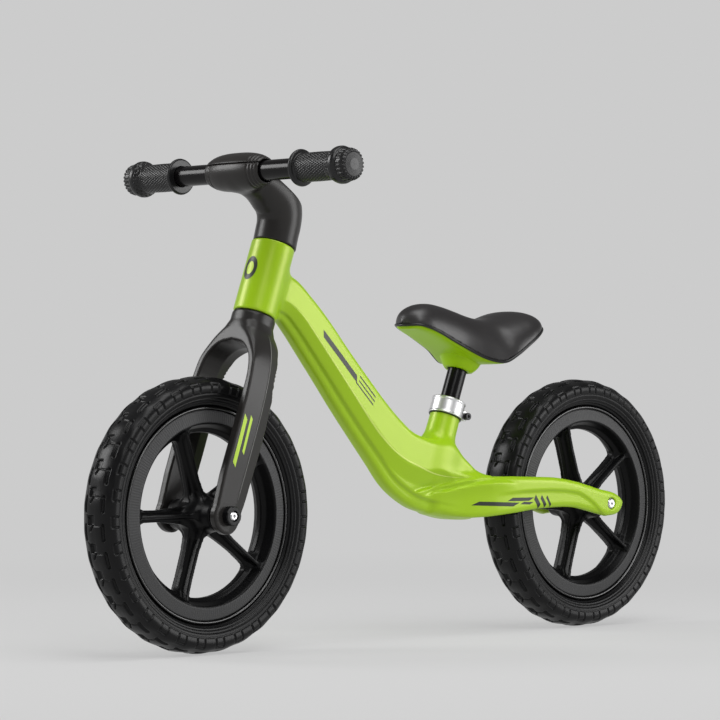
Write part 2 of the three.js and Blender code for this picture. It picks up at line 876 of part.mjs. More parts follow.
// The cushion bulges over its edge line. Its underside is an arch that clears the base shell.
function padSolid() {
  const sections = SADDLE_STATIONS.map(([x, half, edge, crest]) => {
    const points = [];
    for (let i = 0; i <= SADDLE_SIDES; i++) {
      const turn = (i / SADDLE_SIDES) * Math.PI;
      const across = half * Math.sign(Math.cos(turn)) * Math.abs(Math.cos(turn)) ** 0.9;
      points.push(new THREE.Vector3(x, across, edge + (crest - edge) * Math.sin(turn) ** 0.9));
    }
    const floor = undersideHeight(edge, crest);
    for (let i = 1; i < 6; i++) {
      const across = -half + (2 * half * i) / 6;
      const rise = Math.min(1, 3 * (1 - Math.abs(across) / half));
      points.push(new THREE.Vector3(x, across * 0.97, edge + (floor - edge) * rise));
    }
    return points.reverse();
  });
  return loft(sections);
}

const undersideHeight = (edge, crest) => Math.max(edge + 1.5, crest - 30);

// The green shell under the cushion: a wedge-shaped keel that grows into the post socket.
function baseSolid() {
  const sections = SADDLE_STATIONS.map(([x, half, edge, crest, keel]) => {
    const rim = half - (x > SHELL_SHOWS_TO ? 3.2 : 11);
    const deck = undersideHeight(edge, crest);
    const inner = rim * 0.62;
    const low = Math.min(keel, deck - 3);
    return [
      [rim, edge - CUSHION_GAP],
      [inner, deck - CUSHION_GAP],
      [-inner, deck - CUSHION_GAP],
      [-rim, edge - CUSHION_GAP],
      [-rim, edge - 1.6],
      [-rim * 0.55, edge * 0.45 + low * 0.55],
      [-Math.min(6, rim / 2), low],
      [Math.min(6, rim / 2), low],
      [rim * 0.55, edge * 0.45 + low * 0.55],
      [rim, edge - 1.6],
    ]
      .map(([across, height]) => new THREE.Vector3(x, across, height))
      .reverse();
  });
  const shell = loft(sections);
  const cup = alongSeat(
    upright(
      turned(
        [
          [0, 50],
          [14.5, 50],
          [17, 51.5],
          [22, 57],
          [25.5, 66],
          [26.5, 80],
          [24, 88],
          [0, 88],
        ],
        16,
      ),
    ),
  );
  return cut(joined([shell, cup]), [
    alongSeat(upright(rod(POST_RADIUS + GAP, 40, POST_TOP + GAP, 20))),
    alongSeat(upright(rod(3 + GAP, 40, 130, 12))),
    alongSeat(upright(rod(7, POST_TOP + 5, 130, 16))),
  ]);
}

function addSaddle() {
  const base = baseSolid();
  const boltRoom = alongSeat(upright(rod(7, POST_TOP, POST_TOP + 14, 16)));
  const pad = padSolid().subtract(boltRoom);
  bike.add(node("saddle_base", base.subtract(padSolid()), FINISH.green()));
  bike.add(node("saddle_pad", pad, FINISH.vinyl()));
}

// ---- assembly ----

const frontWheel = addWheel("front", WHEELBASE / 2, LEG_INNER);
addAxle(frontWheel, "front", FORK_HALF_WIDTH + 3, 5.2, 4.8);
addAxleCaps(frontWheel);
const rearWheel = addWheel("rear", -WHEELBASE / 2, ARM_INNER);
addAxle(rearWheel, "rear", 51, 6.2, 5.2);
bike.add(node("frame", frameSolid(), FINISH.green()));
addHeadset();
addFork();
addStem();
addStemBolt();
addHandlebar();
addSeatClamp();
addSeatPost();
addSaddle();

export default bike;
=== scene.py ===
"""The balance bike's looks: finer castings, wheels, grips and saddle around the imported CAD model.

Lengths in the shape code are millimetres, in the model's own frame: +X forwards, +Y to the rider's
left and +Z up, with the origin on the ground midway between the axles. Meshes are made in metres.
"""

import json
import math

import bpy
import numpy as np
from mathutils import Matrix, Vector


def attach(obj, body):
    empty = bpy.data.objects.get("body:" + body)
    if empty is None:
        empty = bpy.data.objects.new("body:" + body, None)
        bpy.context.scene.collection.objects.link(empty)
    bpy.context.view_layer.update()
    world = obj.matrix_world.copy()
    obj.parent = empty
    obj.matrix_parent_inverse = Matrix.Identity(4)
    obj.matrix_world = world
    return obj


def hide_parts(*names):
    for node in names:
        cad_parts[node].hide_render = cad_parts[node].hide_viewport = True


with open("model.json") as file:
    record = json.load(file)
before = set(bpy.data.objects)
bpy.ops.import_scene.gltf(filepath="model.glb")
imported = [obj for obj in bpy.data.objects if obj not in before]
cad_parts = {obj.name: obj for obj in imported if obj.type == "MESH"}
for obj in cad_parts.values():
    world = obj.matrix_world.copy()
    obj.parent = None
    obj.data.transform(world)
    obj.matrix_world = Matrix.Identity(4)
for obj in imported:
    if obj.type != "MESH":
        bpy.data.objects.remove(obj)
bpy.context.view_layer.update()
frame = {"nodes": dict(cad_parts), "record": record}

MM = 0.001
WHEELBASE = 611.6
TYRE_RADIUS = 147.5
HEAD_BOTTOM = np.array([224.2, 0.0, 361.5])
HEAD_ANGLE = math.radians(69.74)
HEAD_LENGTH = 81.3
HEAD_RADIUS = 24.0
CROWN_TOP = -0.4
BAR_CENTRE = np.array([245.8, 0.0, 515.2])
BAR_RADIUS = 11.1
SEAT_BASE = np.array([-77.6, 0.0, 254.1])
SEAT_ANGLE = math.radians(68.5)
POST_RADIUS = 11.1


# ---- sampled fields ----


def grid(low, high, step):
    """Sample positions along each axis of a box, as broadcastable x, y and z."""
    axes = [np.arange(a, b + step, step, dtype=np.float32) for a, b in zip(low, high)]
    return axes[0][:, None, None], axes[1][None, :, None], axes[2][None, None, :]


def soft_min(a, b, k):
    """The union of two fields with a fillet about k wide."""
    h = np.maximum(k - np.abs(a - b), 0) / k
    return np.minimum(a, b) - h * h * k / 4


def soft_max(a, b, k):
    """The intersection of two fields with an edge rounded over about k."""
    return -soft_min(-a, -b, k)


def smooth_curve(points, samples):
    """A centripetal-like smooth line through a few points, sampled evenly by length."""
    p = np.array(points, float)
    lengths = np.sqrt(np.linalg.norm(np.diff(p, axis=0), axis=1))
    knots = np.concatenate([[0], np.cumsum(lengths)])
    slopes = np.gradient(p, knots, axis=0)
    at = np.linspace(0, knots[-1], samples)
    span = np.clip(np.searchsorted(knots, at, side="right") - 1, 0, len(knots) - 2)
    width = (knots[span + 1] - knots[span])[:, None]
    t = ((at - knots[span]) / width[:, 0])[:, None]
    h00, h10 = 2 * t**3 - 3 * t**2 + 1, t**3 - 2 * t**2 + t
    h01, h11 = -2 * t**3 + 3 * t**2, t**3 - t**2
    return h00 * p[span] + h10 * width * slopes[span] + h01 * p[span + 1] + h11 * width * slopes[span + 1]


def nearest_on_line(line, u, v):
    """For points (u, v): index along a 2-D line of the nearest spot, distance to its left, distance."""
    line = np.asarray(line, np.float32)
    shape = np.broadcast(u, v).shape
    u, v = np.broadcast_to(u, shape).ravel(), np.broadcast_to(v, shape).ravel()
    best = np.full(u.shape, 1e9, np.float32)
    where = np.zeros(u.shape, np.float32)
    offset = np.zeros(u.shape, np.float32)
    for i in range(len(line) - 1):
        a, d = line[i], line[i + 1] - line[i]
        length = float(np.hypot(*d))
        t = np.clip(((u - a[0]) * d[0] + (v - a[1]) * d[1]) / length**2, 0, 1)
        du, dv = u - a[0] - t * d[0], v - a[1] - t * d[1]
        distance = np.hypot(du, dv)
        closer = distance < best
        best[closer] = distance[closer]
        where[closer] = (i + t)[closer]
        offset[closer] = np.copysign(distance, d[0] * dv - d[1] * du)[closer]
    return where.reshape(shape), offset.reshape(shape), best.reshape(shape)


def outline_field(points, u, v):
    """Signed distance to a closed 2-D outline, negative inside."""
    line = np.array([*points, points[0]], float)
    _, _, distance = nearest_on_line(line, u, v)
    inside = np.zeros(distance.shape, bool)
    u, v = np.broadcast_to(u, distance.shape), np.broadcast_to(v, distance.shape)
    for (u0, v0), (u1, v1) in zip(line[:-1], line[1:]):
        if v0 == v1:
            continue
        crosses = ((v0 > v) != (v1 > v)) & (u < (u1 - u0) * (v - v0) / (v1 - v0) + u0)
        inside ^= crosses
    return np.where(inside, -distance, distance)


def surface(field, low, step):
    """Vertices and outward quads of a sampled field's zero surface, one vertex in each mixed cell."""
    inside = field < 0
    cells_shape = tuple(n - 1 for n in field.shape)
    corners = [(a, b, c) for a in (0, 1) for b in (0, 1) for c in (0, 1)]
    count = np.zeros(cells_shape, np.int8)
    for a, b, c in corners:
        count += inside[a : cells_shape[0] + a, b : cells_shape[1] + b, c : cells_shape[2] + c]
    mixed = (count > 0) & (count < 8)
    index = np.full(cells_shape, -1, np.int32)
    index[mixed] = np.arange(mixed.sum())
    cells = np.argwhere(mixed)
    total, hits = np.zeros((len(cells), 3)), np.zeros(len(cells))
    for corner in corners:
        for axis in range(3):
            if corner[axis]:
                continue
            start = cells + corner
            end = start.copy()
            end[:, axis] += 1
            f0, f1 = field[tuple(start.T)], field[tuple(end.T)]
            crosses = (f0 < 0) != (f1 < 0)
            spot = np.tile(np.array(corner, float), (len(cells), 1))
            spot[:, axis] += np.where(crosses, f0 / np.where(crosses, f0 - f1, 1), 0)
            total[crosses] += spot[crosses]
            hits += crosses
    vertices = (cells + total / hits[:, None]) * step + np.array(low)
    quads = []
    for axis in range(3):
        b, c = (axis + 1) % 3, (axis + 2) % 3
        near = np.moveaxis(inside, axis, 0)[:-1]
        far = np.moveaxis(inside, axis, 0)[1:]
        change = np.moveaxis(near != far, 0, axis)
        starts_inside = np.moveaxis(near, 0, axis)
        spots = np.argwhere(change)
        ok = (spots[:, b] > 0) & (spots[:, c] > 0)
        ok &= (spots[:, b] < cells_shape[b]) & (spots[:, c] < cells_shape[c])
        spots = spots[ok]
        around = []
        for step_b, step_c in ((-1, -1), (0, -1), (0, 0), (-1, 0)):
            cell = spots.copy()
            cell[:, b] += step_b
            cell[:, c] += step_c
            around.append(index[tuple(cell.T)])
        faces = np.stack(around, axis=1)
        flip = ~starts_inside[tuple(spots.T)]
        faces[flip] = faces[flip][:, ::-1]
        quads.append(faces)
    return vertices, np.concatenate(quads)


def relax(vertices, quads, rounds=4):
    """Evens a dense surface out without shrinking it."""
    edges = np.concatenate([quads[:, [i, (i + 1) % 4]] for i in range(4)])
    a, b = edges[:, 0], edges[:, 1]
    degree = np.bincount(a, minlength=len(vertices)) + np.bincount(b, minlength=len(vertices))
    for i in range(2 * rounds):
        pull = 0.5 if i % 2 == 0 else -0.52
        mean = np.empty_like(vertices)
        for axis in range(3):
            v = vertices[:, axis]
            mean[:, axis] = np.bincount(a, v[b], len(v)) + np.bincount(b, v[a], len(v))
        vertices = vertices + pull * (mean / degree[:, None] - vertices)
    return vertices


def mirrored(field):
    """A field sampled for y from 0 upwards, extended to the other side."""
    return np.concatenate([field[:, :0:-1], field], axis=1)


# ---- meshes ----


def both_sides(half, low, step):
    """The surface of a field that is given from the middle plane to the left, with its mirror image."""
    return surface(mirrored(half), (low[0], -(half.shape[1] - 1) * step, low[2]), step)


def add_object(name, vertices, faces, material, body, smooth=True):
    """A mesh object in metres from millimetre vertices and equal-sided faces."""
    mesh = bpy.data.meshes.new(name)
    faces = np.asarray(faces, np.int32)
    sides = faces.shape[1]
    mesh.vertices.add(len(vertices))
    mesh.vertices.foreach_set("co", (np.asarray(vertices, np.float64) * MM).ravel())
    mesh.loops.add(faces.size)
    mesh.loops.foreach_set("vertex_index", faces.ravel())
    mesh.polygons.add(len(faces))
    mesh.polygons.foreach_set("loop_start", np.arange(0, faces.size, sides, dtype=np.int32))
    mesh.polygons.foreach_set("use_smooth", np.full(len(faces), smooth))
    mesh.update(calc_edges=True)
    mesh.materials.append(material)
    made = bpy.data.objects.new(name, mesh)
    bpy.context.scene.collection.objects.link(made)
    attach(made, body)
    return made


def grid_quads(rows, columns, close_rows=False, close_columns=False):
    """Quads over a grid of rows by columns of vertices."""
    r = np.arange(rows if close_rows else rows - 1)[:, None]
    c = np.arange(columns if close_columns else columns - 1)[None, :]
    r1, c1 = (r + 1) % rows, (c + 1) % columns
    parts = [r * columns + c, r * columns + c1, r1 * columns + c1, r1 * columns + c]
    return np.stack([np.broadcast_to(p, (r.shape[0], c.shape[1])) for p in parts], -1).reshape(-1, 4)


def lathe(profile, segments, centre, push=None):
    """A closed profile of (radius, y) turned about the Y axis through centre.

    push, where given, is how far each vertex moves outwards: one row per angle.
    """
    profile = np.asarray(profile, float)
    turn = np.linspace(0, 2 * np.pi, segments, endpoint=False)[:, None]
    radius, height = profile[:, 0][None, :], profile[:, 1][None, :]
    if push is not None:
        around = np.roll(profile, -1, axis=0) - np.roll(profile, 1, axis=0)
        normal = np.stack([around[:, 1], -around[:, 0]], 1)
        normal /= np.linalg.norm(normal, axis=1)[:, None]
        radius = radius + push * normal[:, 0]
        height = height + push * normal[:, 1]
    height = np.broadcast_to(height, (segments, len(profile)))
    x, z = radius * np.cos(turn), radius * np.sin(turn)
    vertices = np.stack([x, height, z], -1).reshape(-1, 3) + centre
    return vertices, grid_quads(segments, len(profile), True, True)


def resample(points, spacing):
    """A closed outline's points, evenly spaced."""
    p = np.array([*points, points[0]], float)
    along = np.concatenate([[0], np.cumsum(np.linalg.norm(np.diff(p, axis=0), axis=1))])
    at = np.linspace(0, along[-1], max(8, int(along[-1] / spacing)), endpoint=False)
    return np.stack([np.interp(at, along, p[:, i]) for i in range(2)], 1)


# ---- materials ----


FINISHES = {}


def finish(
    name, colour, roughness, metallic=0.0, spread=0.06, grain=900.0, bump=0.04, specular=0.5, sheen=(1, 1, 1)
):
    """A procedural finish: cloudy colour, uneven gloss and a fine surface grain."""
    material = bpy.data.materials.new(name)
    material.use_nodes = True
    nodes, links = material.node_tree.nodes, material.node_tree.links
    shader = nodes["Principled BSDF"]
    shader.inputs["Metallic"].default_value = metallic
    shader.inputs["Specular IOR Level"].default_value = specular
    shader.inputs["Specular Tint"].default_value = (*sheen, 1)
    place = nodes.new("ShaderNodeTexCoord")

    clouds = nodes.new("ShaderNodeTexNoise")
    clouds.inputs["Scale"].default_value = 14.0
    clouds.inputs["Detail"].default_value = 5.0
    links.new(place.outputs["Object"], clouds.inputs["Vector"])
    tint = nodes.new("ShaderNodeValToRGB")
    low = [c * (1 - spread) for c in colour]
    high = [min(1.0, c * (1 + spread)) for c in colour]
    tint.color_ramp.elements[0].position = 0.3
    tint.color_ramp.elements[0].color = (*low, 1)
    tint.color_ramp.elements[1].position = 0.7
    tint.color_ramp.elements[1].color = (*high, 1)
    links.new(clouds.outputs["Fac"], tint.inputs["Fac"])
    links.new(tint.outputs["Color"], shader.inputs["Base Color"])

    fine = nodes.new("ShaderNodeTexNoise")
    fine.inputs["Scale"].default_value = grain
    fine.inputs["Detail"].default_value = 3.0
    links.new(place.outputs["Object"], fine.inputs["Vector"])
    gloss = nodes.new("ShaderNodeMapRange")
    gloss.inputs["To Min"].default_value = max(0.02, roughness - 0.05)
    gloss.inputs["To Max"].default_value = roughness + 0.05
    links.new(fine.outputs["Fac"], gloss.inputs["Value"])
    links.new(gloss.outputs["Result"], shader.inputs["Roughness"])
    relief = nodes.new("ShaderNodeBump")
    relief.inputs["Strength"].default_value = bump
    relief.inputs["Distance"].default_value = 0.0003
    links.new(fine.outputs["Fac"], relief.inputs["Height"])
    links.new(relief.outputs["Normal"], shader.inputs["Normal"])
    FINISHES[name] = material
    return material


LIME = (0.33, 0.57, 0.0035)
GLINT = (1.0, 0.9, 0.45)
GREEN = finish("green_paint", LIME, 0.34, spread=0.03, grain=700, bump=0.03, specular=0.95, sheen=GLINT)
GREEN_SHELL = finish("green_plastic", LIME, 0.4, spread=0.03, grain=500, bump=0.05, specular=0.4, sheen=GLINT)
GREY = finish("grey_paint", (0.021, 0.0195, 0.0185), 0.31, spread=0.05, grain=800, bump=0.03, specular=0.27)
FOAM = finish("foam_tyre", (0.0035, 0.0035, 0.0039), 0.34, spread=0.12, grain=500, bump=0.05, specular=0.21)
NYLON = finish("wheel_nylon", (0.003, 0.003, 0.0033), 0.34, spread=0.1, grain=650, specular=0.13)
RIBBED = finish("ribbed_nylon", (0.05, 0.05, 0.051), 0.5, spread=0.1, grain=650, bump=0.06, specular=0.4)
GLOSS = finish("gloss_nylon", (0.006, 0.006, 0.006), 0.16, spread=0.1, grain=650, bump=0.03, specular=0.9)
PLASTIC = finish("black_plastic", (0.004, 0.004, 0.0045), 0.3, spread=0.1, grain=600, bump=0.05, specular=0.25)
RUBBER = finish("grip_rubber", (0.006, 0.006, 0.0065), 0.3, spread=0.1, grain=600, bump=0.05, specular=0.4)
BLACK = finish("black_paint", (0.004, 0.0035, 0.004), 0.2, grain=700, bump=0.02, specular=0.2)
SKIN = finish("saddle_vinyl", (0.012, 0.0105, 0.011), 0.4, grain=420, bump=0.06, specular=0.62)
finish("plated_steel", (0.62, 0.62, 0.63), 0.25, metallic=1.0, spread=0.05, bump=0.06)
finish("bearing_steel", (0.45, 0.46, 0.47), 0.3, metallic=1.0, bump=0.06)
POLISHED = finish("polished_aluminium", (0.8, 0.8, 0.81), 0.36, metallic=1.0, spread=0.04, grain=1200, bump=0.05)
finish("black_steel", (0.02, 0.02, 0.022), 0.32, metallic=0.6, spread=0.1, bump=0.06)
# A pale grey used as a painted highlight on the fork legs' ridge lines.
FORK_RIDGE_HIGHLIGHT = finish("grey_ridge_highlight", (0.16, 0.16, 0.155), 0.3, spread=0.05, grain=800, bump=0.03)
INK = finish("dark_ink", (0.012, 0.016, 0.008), 0.4, spread=0.1, grain=600)
# A lighter green used as a painted highlight: the pale strip along the beam's edge stands in for light caught on
# its rounded edge.
PAINTED_EDGE_HIGHLIGHT = finish("green_edge_highlight", (0.6, 0.78, 0.16), 0.36, spread=0.04, grain=700, bump=0.03, sheen=GLINT)
BEAD = finish("saddle_edge", (0.006, 0.006, 0.006), 0.35, spread=0.1, grain=600, bump=0.05)

for part in frame["record"]["subparts"]:
    shown = frame["nodes"][part["node"]]
    for place in shown.material_slots:
        place.material = FINISHES[part["material_slot"]]


# ---- axes ----

STEER_UP = np.array([-math.cos(HEAD_ANGLE), 0, math.sin(HEAD_ANGLE)])
STEER_FORE = np.array([math.sin(HEAD_ANGLE), 0, math.cos(HEAD_ANGLE)])
SEAT_UP = np.array([-math.cos(SEAT_ANGLE), 0, math.sin(SEAT_ANGLE)])
SEAT_FORE = np.array([math.sin(SEAT_ANGLE), 0, math.cos(SEAT_ANGLE)])


def along(origin, up, fore, x, z):
    """Heights along an axis in the middle plane, and offsets ahead of it."""
    dx, dz = x - origin[0], z - origin[2]
    return dx * up[0] + dz * up[2], dx * fore[0] + dz * fore[2]


# ---- plain painted marks ----


def pressed(spots, target, axis, lift):
    """Spots moved along an axis until they meet a piece, and then lifted off its skin, in mm."""
    laid = []
    for spot in spots.reshape(-1, 3):
        hit, place, normal, _ = target.ray_cast(Vector(spot * MM), Vector(axis))
        laid.append(np.array(place) / MM + np.array(normal) * lift if hit else spot)
    return np.array(laid)


def add_mark(name, target, spots, axis, material, body, closed=False):
    """A thin painted patch laid on a piece: rows of spots ahead of its skin, pressed along an axis."""
    rows, columns = spots.shape[:2]
    faces = grid_quads(rows, columns, False, closed)
    corner = spots[0, 0]
    if np.cross(spots[0, 1] - corner, spots[1, 0] - corner) @ np.array(axis) > 0:
        faces = faces[:, ::-1]
    patch = add_object(name, pressed(spots, target, axis, 0.14), faces, material, body)


def bar_spots(start, end, half_width, slant, side, spacing=1.2):
    """Rows of spots over a straight bar in the side view, its ends slanted."""
    start, end = np.array(start, float), np.array(end, float)
    heading = (end - start) / np.linalg.norm(end - start)
    across = np.array([-heading[1], heading[0]])
    rows = max(2, int(2 * half_width / spacing) + 2)
    columns = max(2, int(np.linalg.norm(end - start) / spacing) + 2)
    r = np.linspace(-1, 1, rows)[:, None, None]
    c = np.linspace(0, 1, columns)[None, :, None]
    flat = start * (1 - c) + end * c + r * (across * half_width + heading * slant)
    return np.stack([flat[..., 0], np.full(flat.shape[:2], 75.0 * side), flat[..., 1]], -1)


def add_ridge(name, target, spots, axis, radius, material, body):
    """A fine raised line laid on a piece, through spots pressed along an axis onto its skin."""
    middle = pressed(spots, target, axis, 0.25)
    heading = np.gradient(middle, axis=0)
    heading /= np.linalg.norm(heading, axis=1)[:, None]
    side = np.cross(heading, axis)
    side /= np.linalg.norm(side, axis=1)[:, None]
    lift = np.cross(side, heading)
    turn = np.linspace(0, 2 * np.pi, 9)[:-1][None, :, None]
    thin = np.clip(np.minimum(np.arange(len(middle)), np.arange(len(middle))[::-1]) / 8, 0.1, 1)[:, None, None]
    ring = middle[:, None] + radius * thin * (np.cos(turn) * side[:, None] + np.sin(turn) * lift[:, None])
    quads = grid_quads(len(middle), 8, False, True)
    line = add_object(name, ring.reshape(-1, 3), quads, material, body)


# Plain bars on each side: start and end from the side, half width, slant of the ends.
BEAM_BARS = [
    ((138.0, 343.0), (86.5, 293.0), 3.0, 3.0),
    ((88.3, 289.9), (61.0, 264.3), 0.7, 0.7),
    ((83.0, 291.1), (58.5, 268.1), 0.7, 0.7),
    ((81.5, 296.1), (57.0, 273.1), 0.7, 0.7),
]
ARM_BARS = [
    ((-92.0, 151.6), (-148.0, 149.4), 2.3, -5.0),
    ((-138.5, 155.4), (-172.0, 155.2), 2.0, -4.0),
    ((-157.0, 151.0), (-172.0, 150.4), 1.5, -3.0),
    ((-177.5, 157.6), (-185.0, 146.4), 2.7, 1.6),
    ((-187.5, 157.8), (-194.8, 146.6), 2.1, 1.3),
    ((-196.3, 157.8), (-203.2, 146.8), 1.5, 0.9),
]


def mark_frame(casting):
    """Plain bars on the beam and arms, a plain oval on the head tube, and a pale strip on the beam's edge that is
    a painted highlight.
    """
    for side, name in ((1, "left"), (-1, "right")):
        for kind, bars in (("beam", BEAM_BARS), ("arm", ARM_BARS)):
            for i, (start, end, half_width, slant) in enumerate(bars):
                spots = bar_spots(start, end, half_width, slant, side)
                add_mark(f"{kind}_bar_{i + 1}_{name}", casting, spots, (0, -side, 0), INK, "frame")
        # The pale strip laid along the beam's edge is a painted highlight, lighter green where the rounded edge
        # would catch the light.
        path = smooth_curve(BEAM_EDGE, EDGE_SAMPLES)
        normal = np.gradient(path, axis=0)[:, ::-1] * (-1, 1)
        normal /= np.linalg.norm(normal, axis=1)[:, None]
        along_path = np.arange(EDGE_SAMPLES)
        taper = np.clip(np.minimum(along_path, along_path[::-1]) / 30, 0.1, 1)[:, None]
        strip = path + np.linspace(-EDGE_HALF_WIDTH, EDGE_HALF_WIDTH, 4)[:, None, None] * taper * normal
        spots = np.stack([strip[..., 0], np.full(strip.shape[:2], 75.0 * side), strip[..., 1]], -1)
        add_mark("beam_edge_highlight_" + name, casting, spots, (0, -side, 0), PAINTED_EDGE_HIGHLIGHT, "frame")
    turn = np.linspace(0, 2 * np.pi, 73)[:-1]
    rings = np.array([1.0, 0.78, 0.56])[:, None]
    across, rise = rings * 9 * np.cos(turn), rings * 13.5 * np.sin(turn)
    spots = HEAD_BOTTOM + STEER_UP * (46 + rise[..., None]) + STEER_FORE * 60 + across[..., None] * (0, 1, 0)
    add_mark("head_oval", casting, spots, -STEER_FORE, INK, "frame", True)


# ---- frame casting ----

FRAME_STEP = 1.1

# Stations down the beam: top line x and z, bottom line x and z, half width.
BEAM_STATIONS = [
    (228, 430, 236, 372, 15),
    (200, 414, 214, 362, 17),
    (172, 400, 190, 354, 18),
    (150, 382, 176, 341, 19),
    (126, 359, 162, 325, 19.5),
    (96, 327, 134, 293, 20),
    (66, 297, 104, 258, 20),
    (38, 270, 77, 228, 20),
    (12, 248, 48, 197, 20.5),
    (-14, 232, 20, 168, 21),
    (-45, 222, -12, 149, 22),
    (-75, 212, -43, 141, 24),
    (-100, 192, -77, 136, 29),
    (-116, 180, -105, 134, 33),
]
ARM_TOP = [(-44, 186), (-92, 182), (-133, 182), (-182, 181), (-215, 179.5), (-250, 174), (-286, 165.5)]
ARM_END = [(-318, 158.5), (-329, 149), (-321, 136), (-300, 132.5)]
ARM_BOTTOM = [(-268, 139.5), (-242, 144), (-191, 143.5), (-150, 139.5), (-93, 135), (-68, 137), (-44, 144)]
ARM_OUTSIDE = [(-334, 56), (-290, 56), (-240, 54.5), (-190, 51.5), (-150, 47.5), (-120, 41.5), (-95, 34)]
ARM_OUTSIDE += [(-70, 25), (-44, 17)]
ARM_INSIDE = [(-334, 42), (-290, 42), (-230, 41), (-190, 39), (-160, 34.5), (-140, 26), (-128, 13), (-124, 0)]
FOLDS = [
    [(-5, 162.8), (-18, 165.8), (-32, 168.6), (-58, 173.3), (-82, 177.3), (-104, 179.3)],
    [(-22, 159), (-45, 164), (-65, 167.5), (-84, 171.2), (-104, 174), (-126, 175), (-150, 172.5)],
]
PANEL = [(-119, 161), (-150, 163.6), (-179, 164.6), (-214, 164.4), (-250, 160.2), (-271, 150.4), (-286, 139.5)]
PANEL += [(-291, 135)]
# Where the beam's flat meets its chamfer and runs on into the arm's first fold, from the side.
BEAM_EDGE = [(192, 378.1), (169.2, 362.3), (153.9, 346.2), (124.6, 313.8), (94.9, 280.9), (64.9, 247.6)]
BEAM_EDGE += [(48.9, 231.2), (28.1, 214), (10.3, 203.7), (-10.8, 195.5), (-35.5, 186.6), (-58.7, 182.4)]
BEAM_EDGE += [(-85.4, 181.2)]
EDGE_SAMPLES = 150
EDGE_HALF_WIDTH = 0.85


def fold_push(x, z):
    """How far the two folds and the valleys above them move the skin outwards."""
    push = 0.0
    for fold, proud, sunk in zip(FOLDS, (1.8, 2.0), (2.2, 3.2)):
        place, offset, distance = nearest_on_line(smooth_curve(fold, 60), x, z)
        fade = np.clip(np.minimum(place / 14, (59 - place) / 16), 0, 1)
        near = np.exp(-((distance / 1.9) ** 2))
        above = proud * near - sunk * (1 - near) * np.exp(-((distance / 6.5) ** 2))
        below = proud * np.exp(-((distance / 9.0) ** 2))
        push = push + fade * np.where(offset < 0, above, below)
    return push


def beam_field(x, y, z):
    """The curved beam: flat sides over a chamfer, a sharp crease and a rounded keel."""
    stations = smooth_curve(BEAM_STATIONS, 220)
    top, low = stations[:, :2], stations[:, 2:4]
    middle = (top + low) / 2
    heading = np.gradient(middle, axis=0)
    heading /= np.linalg.norm(heading, axis=1)[:, None]
    left = np.stack([-heading[:, 1], heading[:, 0]], 1)
    depth = np.abs(((top - low) * left).sum(1)) / 2
    where, offset, distance = nearest_on_line(middle, x, z)
    spot = np.arange(len(middle))
    half_depth = np.interp(where, spot, depth).astype(np.float32)
    half_width = np.interp(where, spot, stations[:, 4]).astype(np.float32)
    up = -offset / half_depth
    bend = 2 * np.clip(where / len(middle) - 0.62, 0, 1)
    edge = np.interp(up - bend, [-1.9, -0.66, -0.24, -0.19, 0.8, 1.4], [0.6, 0.68, 0.975, 1.0, 0.97, 0.9])
    ledge = 0.095 * (1 - np.tanh((up + 0.66) / 0.035))
    side = (half_width * (edge - ledge) + fold_push(x, z)).astype(np.float32)
    body = soft_max(np.abs(y) - side, half_depth * (np.abs(up) - 1), 8.0)
    beyond = (where <= 0) | (where >= len(middle) - 1)
    return np.where(beyond, np.maximum(body, distance), body)


def arm_field(x, y, z):
    """One rear arm from the side and from above, with two soft folds and a sunk panel outside."""
    side_outline = [*smooth_curve(ARM_TOP + ARM_END, 60), *smooth_curve(ARM_BOTTOM, 40)]
    side = outline_field(side_outline, x, z)
    outside = smooth_curve(ARM_OUTSIDE, 60)
    inside = smooth_curve(ARM_INSIDE, 60)
    outer = np.interp(x, outside[:, 0], outside[:, 1]).astype(np.float32)
    inner = np.interp(x, inside[:, 0], inside[:, 1], right=-60).astype(np.float32)
    outer = outer + fold_push(x, z)
    place, offset, distance = nearest_on_line(smooth_curve(PANEL, 80), x, z)
    fade = np.clip(place / 20, 0, 1)
    sunk = 1 / (1 + np.exp(-np.clip(np.where(offset > 0, distance, -distance) / 0.5, -30, 30)))
    outer = outer - 2.3 * fade * sunk * (x < -100)
    wall = soft_max(y - outer, side, 7.0)
    return soft_max(wall, (inner - y) * 0.8, 6.0)


